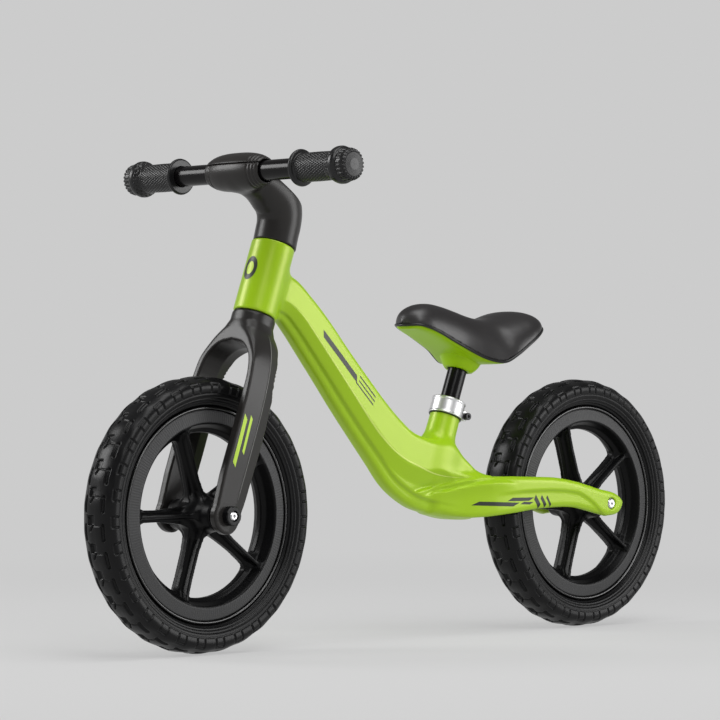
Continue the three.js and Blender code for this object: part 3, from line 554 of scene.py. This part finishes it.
def build_frame():
    low, high = (-334, 0, 129), (256, 59, 452)
    x, y, z = grid(low, high, FRAME_STEP)
    height, ahead = along(HEAD_BOTTOM, STEER_UP, STEER_FORE, x, z)
    field = soft_min(np.maximum(beam_field(x, y, z), ahead - 4), arm_field(x, y, z), 10.0)
    reach = np.sqrt(ahead**2 + y**2)
    tube = soft_max(reach - HEAD_RADIUS, np.abs(height - HEAD_LENGTH / 2) - HEAD_LENGTH / 2, 1.6)
    field = soft_min(field, tube, 7.0)
    swept = np.interp(-height, [0, 12, 21, 34, 52, 80, 110], [27, 27, 31, 40, 52, 70, 88])
    field = np.maximum(field, np.minimum(swept - reach, -height).astype(np.float32))
    field = np.maximum(field, np.minimum(40 - reach, height - HEAD_LENGTH))
    for end in (0, HEAD_LENGTH):
        pocket = np.maximum(reach - 20.8, np.abs(height - end) - 9.4)
        field = np.maximum(field, -pocket)

    height, ahead = along(SEAT_BASE, SEAT_UP, SEAT_FORE, x, z)
    reach = np.sqrt(ahead**2 + y**2)
    flare = np.interp(height, [-60, -42, -30, -18, -8, 0], [19.5, 18.8, 18.2, 17.7, 17.5, 17.5]).astype(np.float32)
    stub = soft_max(reach - flare, np.maximum(height, -64 - height), 1.5)
    field = soft_min(field, stub, 18.0)
    bore = np.maximum(reach - POST_RADIUS - 0.3, -96 - height)
    slit = np.maximum(np.maximum(np.abs(y) - 1.2, ahead), np.maximum(-24 - height, height - 5))
    field = np.maximum(field, np.where(reach < 40, height, -50))
    field = np.maximum(field, -np.minimum(bore, slit))

    eye = np.hypot(x + WHEELBASE / 2, z - TYRE_RADIUS)
    field = np.maximum(field, -np.maximum(eye - 11, y - 42))
    field = np.maximum(field, -np.maximum(eye - 6.8, 51 - y))
    vertices, quads = both_sides(field, low, FRAME_STEP)
    casting = add_object("frame_casting", relax(vertices, quads, 6), quads, GREEN, "frame")
    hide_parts("frame")
    mark_frame(casting)


# ---- fork ----

FORK_STEP = 0.9
FORK_OUTSIDE = [(24, 0), (24.4, 9), (27, 19), (34.5, 32), (42, 52), (46.3, 76), (48.5, 105), (49, 150)]
FORK_OUTSIDE += [(48.5, 200), (48.5, 260)]
FORK_INSIDE = [(38.5, 260), (38.5, 150), (38.5, 105), (37.4, 72), (31, 52), (18, 40), (0, 36)]
FORK_ENVELOPE = ([-10, 12, 21, 34, 52, 80, 110, 280], [24, 24, 27.5, 37, 48, 66, 84, 84])
AXLE_DROP = 229.0
AXLE_RAKE = 2.5
RIDGE_AHEAD = -3.0


def to_steering(vertices):
    """From (ahead, across, down) beside the steering axis to the bike's frame."""
    ahead, across, down = vertices.T
    made = HEAD_BOTTOM + ahead[:, None] * STEER_FORE - down[:, None] * STEER_UP
    made[:, 1] += across
    return made


def build_fork():
    low, high = (-28, 0, -2), (28, 52, 252)
    u, y, s = grid(low, high, FORK_STEP)
    front = [*smooth_curve(FORK_OUTSIDE, 60), *smooth_curve(FORK_INSIDE, 50)]
    front += [(-across, down) for across, down in front[::-1][1:]]
    arch = outline_field(front, y, s)
    turns = np.radians(np.arange(-15, 196, 10))
    side = [(24, -0.4), (24, 12), (23.5, 40), (23, 75), (24, 190)]
    side += [(AXLE_RAKE + 20 * math.cos(t), AXLE_DROP + 20 * math.sin(t)) for t in turns]
    side += [(-22, 190), (-22, 75), (-19.5, 45), (-24, 12), (-24, -0.4)]
    profile = outline_field(side, u, s)
    round_crown = (np.sqrt(u**2 + y**2) - np.interp(s, *FORK_ENVELOPE)) * 0.8
    chamfer = 0.3 * np.maximum(RIDGE_AHEAD - u, 0) * np.clip((s - 14) / 30, 0, 1)
    body = soft_max(arch + chamfer, profile, 2.4)
    body = soft_max(body, round_crown, 4.0)
    eye = np.hypot(u - AXLE_RAKE, s - AXLE_DROP)
    body = np.maximum(body, -np.maximum(eye - 11, y - 38.5))
    body = np.maximum(body, -(eye - 5.3))
    body = np.maximum(body, CROWN_TOP * -1 - s).astype(np.float32)
    vertices, quads = both_sides(body, low, FORK_STEP)
    vertices = to_steering(relax(vertices, quads, 6))
    casting = add_object("fork_casting", vertices, quads[:, ::-1], GREY, "steering")
    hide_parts("fork")
    mark_fork(casting)


# Plain lime bars on each leg's outer face: ahead and down at the start and the end, half width.
FORK_BARS = [((16.6, 122.5), (15.4, 176.0), 2.6), ((8.6, 120.5), (7.6, 160.5), 1.8)]


def leg_spots(ahead, down, side):
    """Places beside the steering axis, well outside a leg."""
    middle = HEAD_BOTTOM + ahead[..., None] * STEER_FORE - down[..., None] * STEER_UP
    return middle + np.array([0, 75.0 * side, 0])


def mark_fork(casting):
    """A fine raised line down each leg's ridge, pale grey as a painted highlight, and two plain lime bars ahead of
    it.
    """
    for side, name in ((1, "left"), (-1, "right")):
        axis = (0, -side, 0)
        down = np.linspace(22, 214, 120)
        ridge = leg_spots(np.full(120, RIDGE_AHEAD), down, side)
        # The ridge line's pale grey is a painted highlight along the leg's edge; the raised bead itself is real
        # shape.
        add_ridge("fork_ridge_highlight_" + name, casting, ridge, axis, 0.5, FORK_RIDGE_HIGHLIGHT, "steering")
        for i, (start, end, half) in enumerate(FORK_BARS):
            t, r = np.linspace(0, 1, 40)[None, :], np.linspace(-1, 1, 6)[:, None]
            ahead = start[0] * (1 - t) + end[0] * t + r * half
            down = start[1] * (1 - t) + end[1] * t - r * half * 0.9
            spots = leg_spots(ahead, down, side)
            add_mark(f"fork_bar_{i + 1}_{name}", casting, spots, axis, GREEN, "steering")


# ---- stem ----

STEM_STEP = 0.9
# Stations up the neck: centre x and z, radius in the bike's plane, radius across.
NECK_STATIONS = [
    (195.0, 435.8, 24, 24),
    (191, 450.5, 24, 24),
    (187.5, 463, 24.6, 24),
    (187, 475, 26, 24),
    (191, 487, 27, 24),
    (202, 497, 26, 23.5),
    (217, 505, 22, 22.5),
    (233, 509.5, 19, 21),
    (246, 511, 16, 18),
]
POD_SHAPE = [(-42, 13.8), (-39, 15.4), (-33, 17.8), (-25, 19.6), (-14, 20.8), (0, 21.1)]
POD_SHAPE += [(-across, radius) for across, radius in POD_SHAPE[-2::-1]]
POD_RINGS = (29.5, 33.5, 37.0)
SEAM = 8.0
FACET_START = (167.0, 482.0)
FACET_SLOPE = math.radians(34.3)


def build_stem():
    low, high = (158, 0, 430), (270, 46, 540)
    x, y, z = grid(low, high, STEM_STEP)
    neck = smooth_curve(NECK_STATIONS, 70)
    where, _, distance = nearest_on_line(neck[:, :2], x, z)
    spot = np.arange(len(neck))
    in_plane = np.interp(where, spot, neck[:, 2]).astype(np.float32)
    across = np.interp(where, spot, neck[:, 3]).astype(np.float32)
    body = (np.sqrt((distance / in_plane) ** 2 + (y / across) ** 2) - 1) * 20
    facet = (x - FACET_START[0]) * -math.sin(FACET_SLOPE) + (z - FACET_START[1]) * math.cos(FACET_SLOPE)
    body = soft_max(body, facet, 2.0)
    height, ahead = along(HEAD_BOTTOM, STEER_UP, STEER_FORE, x, z)
    body = soft_max(body, HEAD_LENGTH + 0.6 - height, 1.2)

    shape = smooth_curve(POD_SHAPE, 80)
    skin = np.interp(y, shape[:, 0], shape[:, 1], right=13).astype(np.float32)
    for place in POD_RINGS:
        skin = skin - 0.9 * np.exp(-(((y - place) / 0.75) ** 2))
    reach = np.hypot(x - BAR_CENTRE[0], z - BAR_CENTRE[2])
    pod = soft_max(reach - skin, y - 42, 2.0)
    body = soft_min(body, pod, 6.0)
    body = np.maximum(body, -(reach - BAR_RADIUS - 1.6))
    recess = np.maximum(np.sqrt(ahead**2 + y**2) - 6, 123.2 - height)
    body = np.maximum(body, -recess)
    lift = z - BAR_CENTRE[2] - SEAM
    for name, node, part in (
        ("stem_casting", "stem_neck", np.maximum(body, lift)),
        ("bar_cap_casting", "bar_clamp_cap", np.maximum(body, 0.7 - lift)),
    ):
        vertices, quads = both_sides(part.astype(np.float32), low, STEM_STEP)
        casting = add_object(name, relax(vertices, quads, 2), quads, GREY, "steering")
        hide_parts(node)


# ---- wheels ----

RIM_STEP = 1.05
BAND = [(88, -3.5), (92.5, -7), (95.8, -14.5), (96.8, -16.6), (98, -17.2), (113, -14), (115, -12)]
TREAD_PITCHES = 31
TYRE_SIDE = [(115.5, -12.6), (117.2, -15.4), (118.6, -17.6), (120.6, -19.4), (124.5, -21.3), (130, -22.9)]
TYRE_SIDE += [(136, -23.6), (140, -22.2), (143, -19.3), (145.2, -15), (146.7, -9.5), (147.4, -4.5), (147.5, 0)]


def build_rim(prefix, centre_x):
    low, high = (-117, 0, -117), (117, 36, 117)
    x, y, z = grid(low, high, RIM_STEP)
    reach = np.hypot(x, z)
    outline = [*BAND, *[(radius, -across) for radius, across in BAND[::-1]]]
    band = outline_field(outline, reach, y)
    turn = np.arctan2(z, x)
    sector = 2 * np.pi / 5
    folded = turn - np.round(turn / sector) * sector
    p, q = reach * np.cos(folded), np.abs(reach * np.sin(folded))
    web_half = np.interp(p, [14, 40, 62, 80, 90, 98], [11, 8, 6.3, 6.6, 10, 17]).astype(np.float32)
    rib_half = np.interp(p, [14, 40, 70, 96], [17, 13.2, 12.6, 14.4]).astype(np.float32)
    web = soft_max(np.maximum(q - web_half, y - 3.4), np.maximum(12 - p, p - 98), 1)
    rib = soft_max(np.maximum(q - 2.1, y - rib_half), np.maximum(12 - p, p - 99), 1)
    spokes = soft_min(web, rib, 5.0)
    hub_skin = np.interp(y, [0, 6, 14, 22, 34], [23, 22.4, 19, 18, 16.4]).astype(np.float32)
    hub = soft_max(reach - hub_skin, y - 34, 2.0)
    body = soft_min(soft_min(spokes, hub, 8.0), band, 5.0)
    cone = np.interp(reach, [97.6, 98.4, 113.4], [17.2, 17.0, 13.85])
    body = np.maximum(body, np.where(reach > 97.4, y - cone, -50))
    body = np.maximum(body, reach - 115.1)
    body = np.maximum(body, -np.maximum(reach - 13.2, 25.7 - y))
    body = np.maximum(body, -(reach - 9)).astype(np.float32)
    vertices, quads = both_sides(body, low, RIM_STEP)
    vertices = relax(vertices, quads, 6) + (centre_x, 0, TYRE_RADIUS)
    wheel = add_object(prefix + "_wheel_moulding", vertices, quads, NYLON, prefix + "_wheel")
    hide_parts(prefix + "_rim")

    for side, name in ((1, "left"), (-1, "right")):
        turn = np.linspace(0, 2 * np.pi, 13)[:-1]
        edge = [(113.9 + 1.3 * math.cos(t), side * 15.4 + 1.3 * math.sin(t)) for t in turn]
        vertices, quads = lathe(edge[::-1], 360, (centre_x, 0, TYRE_RADIUS))
        lip = add_object(f"{prefix}_rim_lip_{name}", vertices, quads, GLOSS, prefix + "_wheel")
    ribs = 230
    segments = ribs * 4
    cone = [(98.4, 15.6)] + [(98.4 + 1.1 * i, 17.3 - 0.2347 * i) for i in range(13)] + [(111.6, 13.4)]
    wave = 0.16 * np.sign(np.cos(np.linspace(0, 2 * np.pi * ribs, segments, endpoint=False) + 0.4))[:, None]
    for side, name in ((1, "left"), (-1, "right")):
        profile = np.array([(radius, side * height) for radius, height in cone])
        if side > 0:
            profile = profile[::-1]
        flat = (profile[:, 0] < 98.5) | (profile[:, 0] > 111.5)
        push = np.where(flat[None, :], 0.0, wave)
        vertices, quads = lathe(profile, segments, (centre_x, 0, TYRE_RADIUS), push)
        ring = add_object(f"{prefix}_rim_ribs_{name}", vertices, quads, RIBBED, prefix + "_wheel")


def stroke(v, c, start, end, half_width):
    """How deep a groove between two points of the tread is: 1 on its line, 0 beyond its edge."""
    a, d = np.array(start), np.array(end) - np.array(start)
    t = np.clip(((v - a[0]) * d[0] + (c - a[1]) * d[1]) / (d @ d), 0, 1)
    distance = np.hypot(v - a[0] - t * d[0], c - a[1] - t * d[1])
    return np.clip((half_width + 0.45 - distance) / 0.9, 0, 1)


def build_tyre(prefix, centre_x):
    side = smooth_curve(TYRE_SIDE, 56)
    outline = np.array([*side, *[(radius, -across) for radius, across in side[-2::-1]]])
    profile = resample(outline, 0.8)
    samples = TREAD_PITCHES * 42
    pitch = 2 * np.pi * TYRE_RADIUS / TREAD_PITCHES
    v = (np.arange(samples) / samples * TREAD_PITCHES % 1 - 0.5)[:, None] * pitch
    radius, across = profile[:, 0][None, :], profile[:, 1][None, :]
    # Distance across the tread, measured along its skin from the crown.
    c = np.where(radius > 139, across + np.sign(across) * (TYRE_RADIUS - radius) * 0.55, np.sign(across) * 60)
    depth = np.zeros((samples, len(profile)))
    marks = []
    marks.append(((7.5, -0.5), (2.0, -4.0), 1.0, 2.4))
    marks.append(((7.5, -0.5), (-13.5 + pitch, -9.0), 1.0, 2.4))
    marks.append(((7.5, -0.5), (6.5, 14.0), 0.5, 1.4))
    marks.append(((-13.5, -9.0), (-6.5, -14.0), 0.5, 1.4))
    for start, end, half_width, deep in marks:
        for shift in (-pitch, 0, pitch):
            line = stroke(v, c, (start[0] + shift, start[1]), (end[0] + shift, end[1]), half_width)
            depth = np.maximum(depth, deep * line)
    # Slots on each side of the crown, with a bar standing in each.
    for row in (-14.0, 14.0):
        for shift in (-pitch, 0, pitch):
            slot = stroke(v, c, (shift - 7, row), (shift + 7, row), 2.4)
            bar = stroke(v, c, (shift - 6, row), (shift + 6, row), 0.8)
            depth = np.where(slot > 0, np.maximum(depth, 2.7 * slot) * (1 - 1.1 * bar), depth)
    # Grooves between the crown's lugs.
    lane = np.abs((v + 2 + pitch / 2) % pitch - pitch / 2)
    gap = np.clip((lane - 9.5) / 0.8, 0, 1) * np.clip((5.0 - np.abs(c + 4)) / 0.8, 0, 1)
    depth = np.maximum(depth, 2.6 * gap)
    # The shoulder's short notches, in pairs joined by a line.
    down = np.where(radius < 145, TYRE_RADIUS - radius, 0)
    for place in (5.0, 17.0):
        for shift in (-pitch, 0, pitch):
            notch = np.clip((1.15 - np.abs(v - place - shift)) / 0.7, 0, 1)
            depth = np.maximum(depth, 1.5 * notch * ((down > 7) & (down < 17)))
    top_line = np.clip((1.3 - np.abs(down - 7.4)) / 0.7, 0, 1)
    between = np.abs(((v - 11) + pitch / 2) % pitch - pitch / 2) < 6.6
    depth = np.maximum(depth, 1.5 * top_line * between)
    # Rings on the sidewall.
    for ring, deep in ((118.4, 1.1), (121.4, 1.0), (124.4, 0.9), (129.2, 0.6)):
        depth = np.maximum(depth, deep * np.exp(-(((radius - ring) / 0.6) ** 2)) * (np.abs(across) > 10))
    # A slow swell between the pitches.
    swell = 0.42 * (np.cos(2 * np.pi * v / pitch) - 1) * np.clip((26 - np.abs(c)) / 6, 0, 1)
    push = swell - depth
    vertices, quads = lathe(profile, samples, (centre_x, 0, TYRE_RADIUS), push * (radius > 117))
    tyre = add_object(prefix + "_tyre_tread", vertices, quads, FOAM, prefix + "_wheel")
    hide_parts(prefix + "_tyre")


# ---- handlebar and grips ----

# The grip's outline, by radius and distance from the middle of the bar: flange, sleeve, bulge, end and bore.
GRIP_PROFILE = [(11.6, 93.5), (18.2, 93.5), (19.6, 94.2), (20, 95.6), (19.6, 97), (18.2, 97.9), (16, 98.6)]
GRIP_PROFILE += [(15.5, 100)]
GRIP_PROFILE += [(15.7, 122), (15.4, 143), (16, 146.5), (17.4, 149.5), (19.4, 152.5), (20.1, 155), (20.1, 158)]
GRIP_PROFILE += [(19.2, 160.5), (17.4, 161.7), (16.7, 163), (16.6, 168.5), (15.8, 171.5), (13, 173.7)]
GRIP_PROFILE += [(6, 174.7), (0.01, 174.9), (0.01, 165.6), (11.6, 165.6)]
KNURL_AROUND = 34
KNURL_PITCH = 2.7
FLUTES = 24


def band(value, low, high, blend):
    """1 between two values, fading to 0 over blend on each side."""
    return np.clip((value - low) / blend, 0, 1) * np.clip((high - value) / blend, 0, 1)


def build_bars():
    profile = resample(GRIP_PROFILE, 0.45)
    segments = KNURL_AROUND * 10
    turn = np.linspace(0, 2 * np.pi, segments, endpoint=False)[:, None]
    radius, y = profile[:, 0][None, :], profile[:, 1][None, :]
    outer = radius > 12.4
    lean = 2 * np.pi * y / KNURL_PITCH
    dots = 0.5 + 0.5 * np.cos(KNURL_AROUND * turn) * np.cos(lean / 2)
    dots = np.clip((dots - 0.52) / 0.2, 0, 1)
    push = 0.55 * dots * band(y, 100.5, 144, 0.6)
    studs = np.clip((np.cos(KNURL_AROUND / 2 * turn) * np.cos(2 * np.pi * y / 5.2) - 0.1) / 0.3, 0, 1)
    push = push + 0.6 * studs * band(y, 146, 154, 0.8)
    flutes = np.clip((np.cos(FLUTES * turn) + 0.25) / 0.4, 0, 1)
    push = push + (0.9 * flutes - 0.9) * band(y, 162, 173.5, 0.9)
    push = push * outer
    for side, name in ((1, "left"), (-1, "right")):
        shape = profile * (1, side)
        this_push = push
        if side < 0:
            shape, this_push = shape[::-1], push[:, ::-1]
        vertices, quads = lathe(shape[::-1], segments, BAR_CENTRE, this_push[:, ::-1])
        grip = add_object("grip_sleeve_" + name, vertices, quads, RUBBER, "steering")
        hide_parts("grip_" + name)

    half = 165.0
    tube = [(9.3, -half), (10.7, -half), (11.1, -half + 0.5), (11.1, half - 0.5), (10.7, half), (9.3, half)]
    tube = resample(tube, 2.0)
    vertices, quads = lathe(tube[::-1], 96, BAR_CENTRE)
    bar = add_object("bar_tube", vertices, quads, BLACK, "steering")
    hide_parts("handlebar_tube")


# ---- seat post, clamp and saddle ----

CLAMP_STEP = 0.5
SADDLE_STEP = 1.2
# Stations along the saddle, nose to tail: x, half width, edge height, crest height.
SADDLE_STATIONS = [
    (-6, 5, 355, 363),
    (-9, 12, 355.2, 368),
    (-16, 20, 355.2, 374),
    (-28, 25.5, 351.5, 378.5),
    (-44, 27.5, 345.5, 379.8),
    (-62, 29, 337.5, 377.4),
    (-81, 31.7, 329, 373),
    (-99, 38, 320, 368),
    (-113, 44.5, 315, 365),
    (-127, 50, 314, 363.8),
    (-141, 55.5, 322.5, 365),
    (-158, 57, 333.5, 369.5),
    (-174, 56, 343, 373.2),
    (-188, 50, 350.5, 373.5),
    (-198, 40, 354.5, 370.5),
    (-205, 27, 356, 364.5),
]


# How far the shell stays inside the cushion's edge, and how far its lip hangs below it.
SHELL_INSET = 1.3
SHELL_LIP = 1.7
# The post's socket under the shell: heights up the seat axis, and its radius at each.
CUP_SKIN = ([52.5, 54, 58, 62, 66, 72, 80], [14.2, 15.8, 19.4, 22, 23.6, 24.6, 25.2])


def saddle_lines():
    """The saddle's lines, by x from tail to nose: half width, edge and crest heights."""
    ends = [(-4.6, 0.5, 355, 359)], [(-207.6, 0.5, 356.6, 359.5)]
    return smooth_curve(ends[0] + SADDLE_STATIONS + ends[1], 240)[::-1]


def saddle_fields(x, y, z):
    """Fields of the cushion and of the shell that carries it."""
    lines = saddle_lines()
    half, edge, crest = (np.interp(x, lines[:, 0], lines[:, i]).astype(np.float32) for i in range(1, 4))
    rise = crest - edge
    across = y / np.maximum(half, 1)
    up = np.maximum(z - edge, 0) / rise
    dome = ((across**2.15 + up**2.15) ** (1 / 2.15) - 1) * np.minimum(half, rise) * 0.8
    floor = edge + np.maximum(1.5, rise - 30) * np.clip(3 * (1 - across), 0, 1)
    ends = np.maximum(x - lines[-1, 0], lines[0, 0] - x)
    cushion = np.maximum(soft_max(dome, edge - z, 2.0), np.maximum(floor - z, ends))

    sag = np.interp(x, [-128, -116, -104], [1.8, 3.2, 5.2]).astype(np.float32)
    under = edge - sag + (sag - SHELL_LIP) * np.clip(across, 0, 1.1) ** 5
    shell = soft_max(y - half + SHELL_INSET, (under - z) * 0.9, 1.6)
    shell = soft_max(shell, np.maximum(x + 8.5, -202 - x), 2.0)
    height, ahead = along(SEAT_BASE, SEAT_UP, SEAT_FORE, x, z)
    reach = np.sqrt(ahead**2 + y**2)
    skin = np.interp(height, *CUP_SKIN).astype(np.float32)
    cup = soft_max((reach - skin) * 0.75, np.maximum(53.5 - height, height - 80), 1.2)
    shell = soft_min(shell, cup, 0.9)
    shell = soft_max(shell, z - floor + 0.5, 0.8)
    shell = np.maximum(shell, y - half + SHELL_INSET)
    shell = np.maximum(shell, -np.maximum(reach - POST_RADIUS - 0.3, height - 79))
    return cushion.astype(np.float32), shell.astype(np.float32)


def build_saddle():
    low, high = (-210, 0, 300), (-3, 68, 383)
    x, y, z = grid(low, high, SADDLE_STEP)
    cushion, shell = saddle_fields(x, y, z)
    vertices, quads = both_sides(cushion, low, SADDLE_STEP)
    pad = add_object("saddle_cushion", relax(vertices, quads, 8), quads, SKIN, "saddle")
    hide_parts("saddle_pad")
    vertices, quads = both_sides(shell, low, SADDLE_STEP)
    base = add_object("saddle_shell", relax(vertices, quads, 3), quads, GREEN_SHELL, "saddle")
    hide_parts("saddle_base")

    lines = saddle_lines()
    left = np.stack([lines[:, 0], lines[:, 1], lines[:, 2]], 1)
    loop = np.concatenate([left, left[-2:0:-1] * (1, -1, 1)])
    add_bead("saddle_edge_bead", loop, 1.5, BEAD, "saddle")


def add_bead(name, loop, radius, material, body):
    """A round bead along a closed loop of points."""
    gaps = np.linalg.norm(np.roll(loop, -1, axis=0) - loop, axis=1)
    along_loop = np.concatenate([[0], np.cumsum(gaps)])
    closed = np.concatenate([loop, loop[:1]])
    count = int(along_loop[-1] / 1.6)
    at = np.linspace(0, along_loop[-1], count, endpoint=False)
    centre = np.stack([np.interp(at, along_loop, closed[:, i]) for i in range(3)], 1)
    for _ in range(4):
        centre = (np.roll(centre, 1, axis=0) + 2 * centre + np.roll(centre, -1, axis=0)) / 4
    heading = np.roll(centre, -1, axis=0) - np.roll(centre, 1, axis=0)
    heading /= np.linalg.norm(heading, axis=1)[:, None]
    side = np.cross(heading, (0, 0, 1))
    side /= np.linalg.norm(side, axis=1)[:, None]
    lift = np.cross(side, heading)
    turn = np.linspace(0, 2 * np.pi, 12, endpoint=False)[None, :, None]
    ring = centre[:, None] + radius * (np.cos(turn) * side[:, None] + np.sin(turn) * lift[:, None])
    bead = add_object(name, ring.reshape(-1, 3), grid_quads(count, 12, True, True), material, body)
    return bead


def to_seat(vertices):
    """From (ahead, across, up) beside the seat axis to the bike's frame."""
    ahead, across, up = vertices.T
    made = SEAT_BASE + ahead[:, None] * SEAT_FORE + up[:, None] * SEAT_UP
    made[:, 1] += across
    return made


def add_ring(name, outline, material):
    """A ring turned about the seat axis from an outline of (radius, height), riding on the frame."""
    vertices, quads = lathe(resample(outline, 0.35), 160, np.zeros(3))
    return add_object(name, to_seat(vertices[:, [0, 2, 1]]), quads, material, "frame")


CLAMP_RING = [(11.5, 16.4), (18.6, 16.4), (19.6, 15.9), (20.1, 15.0), (20.1, 13.9), (19.7, 13.2), (19.6, 12.4)]
CLAMP_RING += [(19.6, -0.2), (19.8, -0.9), (20.3, -1.4), (20.3, -2.4), (19.8, -3.0), (17.8, -3.0), (17.8, 0.3)]
CLAMP_RING += [(11.5, 0.3)]


def build_seat_clamp():
    low, high = (-32, -21, -4), (22, 22, 18)
    x, y, z = grid(low, high, CLAMP_STEP)
    reach = np.sqrt(x**2 + y**2)
    ears = np.maximum(np.maximum(np.abs(x + 23.4) - 5.1, np.abs(y) - 8.4), np.abs(z - 6) - 5.8)
    round_ear = np.hypot(x + 22.2, z - 6) - 6.3
    body = soft_max(ears, round_ear, 1.5)
    bolt = np.hypot(x + 23.7, z - 6) - 2.8
    body = np.maximum(body, -np.minimum(np.abs(y) - 1.0, bolt))
    body = np.maximum(body, 19.3 - reach).astype(np.float32)
    vertices, quads = surface(body, low, CLAMP_STEP)
    ears = add_object("clamp_ears", to_seat(relax(vertices, quads, 6)), quads[:, ::-1], POLISHED, "frame")
    collar = add_ring("clamp_collar", CLAMP_RING, POLISHED)
    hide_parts("seat_clamp_collar")
    # A thin black ring under the collar is a painted shadow: a dark line where the collar meets the frame.
    shadow_ring = add_ring("clamp_shadow_gap", [(17.8, -4.1), (18.9, -4.1), (18.9, -3.1), (17.8, -3.1)], PLASTIC)

    post = [(9.3, -70), (10.8, -70), (11.1, -69.5), (11.1, 77.5), (10.8, 78), (9.3, 78)]
    post = resample(post, 2.0)
    vertices, quads = lathe(post[::-1], 96, np.zeros(3))
    vertices = to_seat(vertices[:, [0, 2, 1]])
    tube = add_object("seat_tube", vertices, quads, BLACK, "saddle")
    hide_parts("seat_post")


# ---- camera, lights and floor ----

CAMERA_AT = Vector((2.60502, 2.52531, 0.26576))
CAMERA_TO = Vector((0.06201, 0.0, 0.31462))
CAMERA_LENS = 160.27
BACKDROP = 0.604
FLOOR_GLOW = 0.44


def build_camera():
    data = bpy.data.cameras.new("camera")
    data.lens = CAMERA_LENS
    data.sensor_width = 36.0
    camera = bpy.data.objects.new("camera", data)
    camera.location = CAMERA_AT
    camera.rotation_euler = (CAMERA_TO - CAMERA_AT).to_track_quat("-Z", "Y").to_euler()
    bpy.context.scene.collection.objects.link(camera)
    bpy.context.scene.camera = camera


def add_light(name, place, target, size, power):
    data = bpy.data.lights.new(name, "AREA")
    data.shape = "RECTANGLE"
    data.size, data.size_y = size
    data.energy = power
    light = bpy.data.objects.new(name, data)
    light.location = place
    light.rotation_euler = (Vector(target) - Vector(place)).to_track_quat("-Z", "Y").to_euler()
    bpy.context.scene.collection.objects.link(light)


def build_world():
    """A studio whose walls are pale round the horizon and dimmer above and below."""
    world = bpy.data.worlds.new("studio")
    world.use_nodes = True
    nodes, links = world.node_tree.nodes, world.node_tree.links
    sky = nodes["Background"]
    sky.inputs["Strength"].default_value = 1.0
    place = nodes.new("ShaderNodeTexCoord")
    split = nodes.new("ShaderNodeSeparateXYZ")
    links.new(place.outputs["Generated"], split.inputs["Vector"])
    height = nodes.new("ShaderNodeMapRange")
    height.inputs["From Min"].default_value = -1.0
    links.new(split.outputs["Z"], height.inputs["Value"])
    shade = nodes.new("ShaderNodeValToRGB")
    ramp = shade.color_ramp.elements
    levels = [(0.3, 0.12), (0.42, BACKDROP), (0.58, BACKDROP), (0.68, 0.14), (0.9, 0.2)]
    while len(ramp) < len(levels):
        ramp.new(0.5)
    for stop, (position, level) in zip(ramp, levels):
        stop.position = position
        stop.color = (level, level, level, 1)
    links.new(height.outputs["Result"], shade.inputs["Fac"])
    links.new(shade.outputs["Color"], sky.inputs["Color"])
    bpy.context.scene.world = world


def build_floor():
    turn = np.linspace(0, 2 * np.pi, 97)[:-1]
    rings = np.array([0.02, 0.5, 1, 2, 4, 30])
    vertices = [(r * math.cos(t), r * math.sin(t), -0.0006) for r in rings for t in turn]
    mesh = bpy.data.meshes.new("floor")
    quads = grid_quads(len(rings), len(turn), False, True)
    centre = [list(range(len(turn)))[::-1]]
    mesh.from_pydata(vertices, [], [list(map(int, q[::-1])) for q in quads] + centre)
    mesh.update()
    floor = bpy.data.objects.new("floor", mesh)
    bpy.context.scene.collection.objects.link(floor)
    pale = bpy.data.materials.new("pale_floor")
    pale.use_nodes = True
    nodes, links = pale.node_tree.nodes, pale.node_tree.links
    shader = nodes["Principled BSDF"]
    shader.inputs["Roughness"].default_value = 0.9
    shader.inputs["Specular IOR Level"].default_value = 0.0
    place = nodes.new("ShaderNodeTexCoord")
    away = nodes.new("ShaderNodeVectorMath")
    away.operation = "LENGTH"
    links.new(place.outputs["Object"], away.inputs[0])
    for socket, near, far in (("Base Color", 0.2, 0.0), ("Emission Strength", FLOOR_GLOW, BACKDROP)):
        fade = nodes.new("ShaderNodeMapRange")
        fade.interpolation_type = "SMOOTHSTEP"
        fade.inputs["From Min"].default_value = 0.45
        fade.inputs["From Max"].default_value = 2.2
        fade.inputs["To Min"].default_value = near
        fade.inputs["To Max"].default_value = far
        links.new(away.outputs["Value"], fade.inputs["Value"])
        links.new(fade.outputs["Result"], shader.inputs[socket])
    shader.inputs["Emission Color"].default_value = (1, 1, 1, 1)
    mesh.materials.append(pale)


def build_stage():
    bpy.context.scene.view_settings.view_transform = "Standard"
    build_world()
    build_floor()
    middle = (0, 0, 0.3)
    add_light("front", (2.0, -2.2, 1.75), middle, (1.3, 1.3), 46)
    add_light("rear_left", (-2.0, 2.3, 0.75), middle, (1.6, 1.3), 31)
    add_light("overhead", (0.2, 0.5, 2.4), middle, (1.6, 1.2), 26)
    add_light("camera_side", (1.1, 2.3, 2.6), middle, (1.5, 1.5), 34)


build_camera()
build_stage()
build_frame()
build_fork()
build_stem()
build_bars()
build_seat_clamp()
build_saddle()
for wheel_prefix, wheel_x in (("front", WHEELBASE / 2), ("rear", -WHEELBASE / 2)):
    build_rim(wheel_prefix, wheel_x)
    build_tyre(wheel_prefix, wheel_x)

bpy.context.view_layer.update()
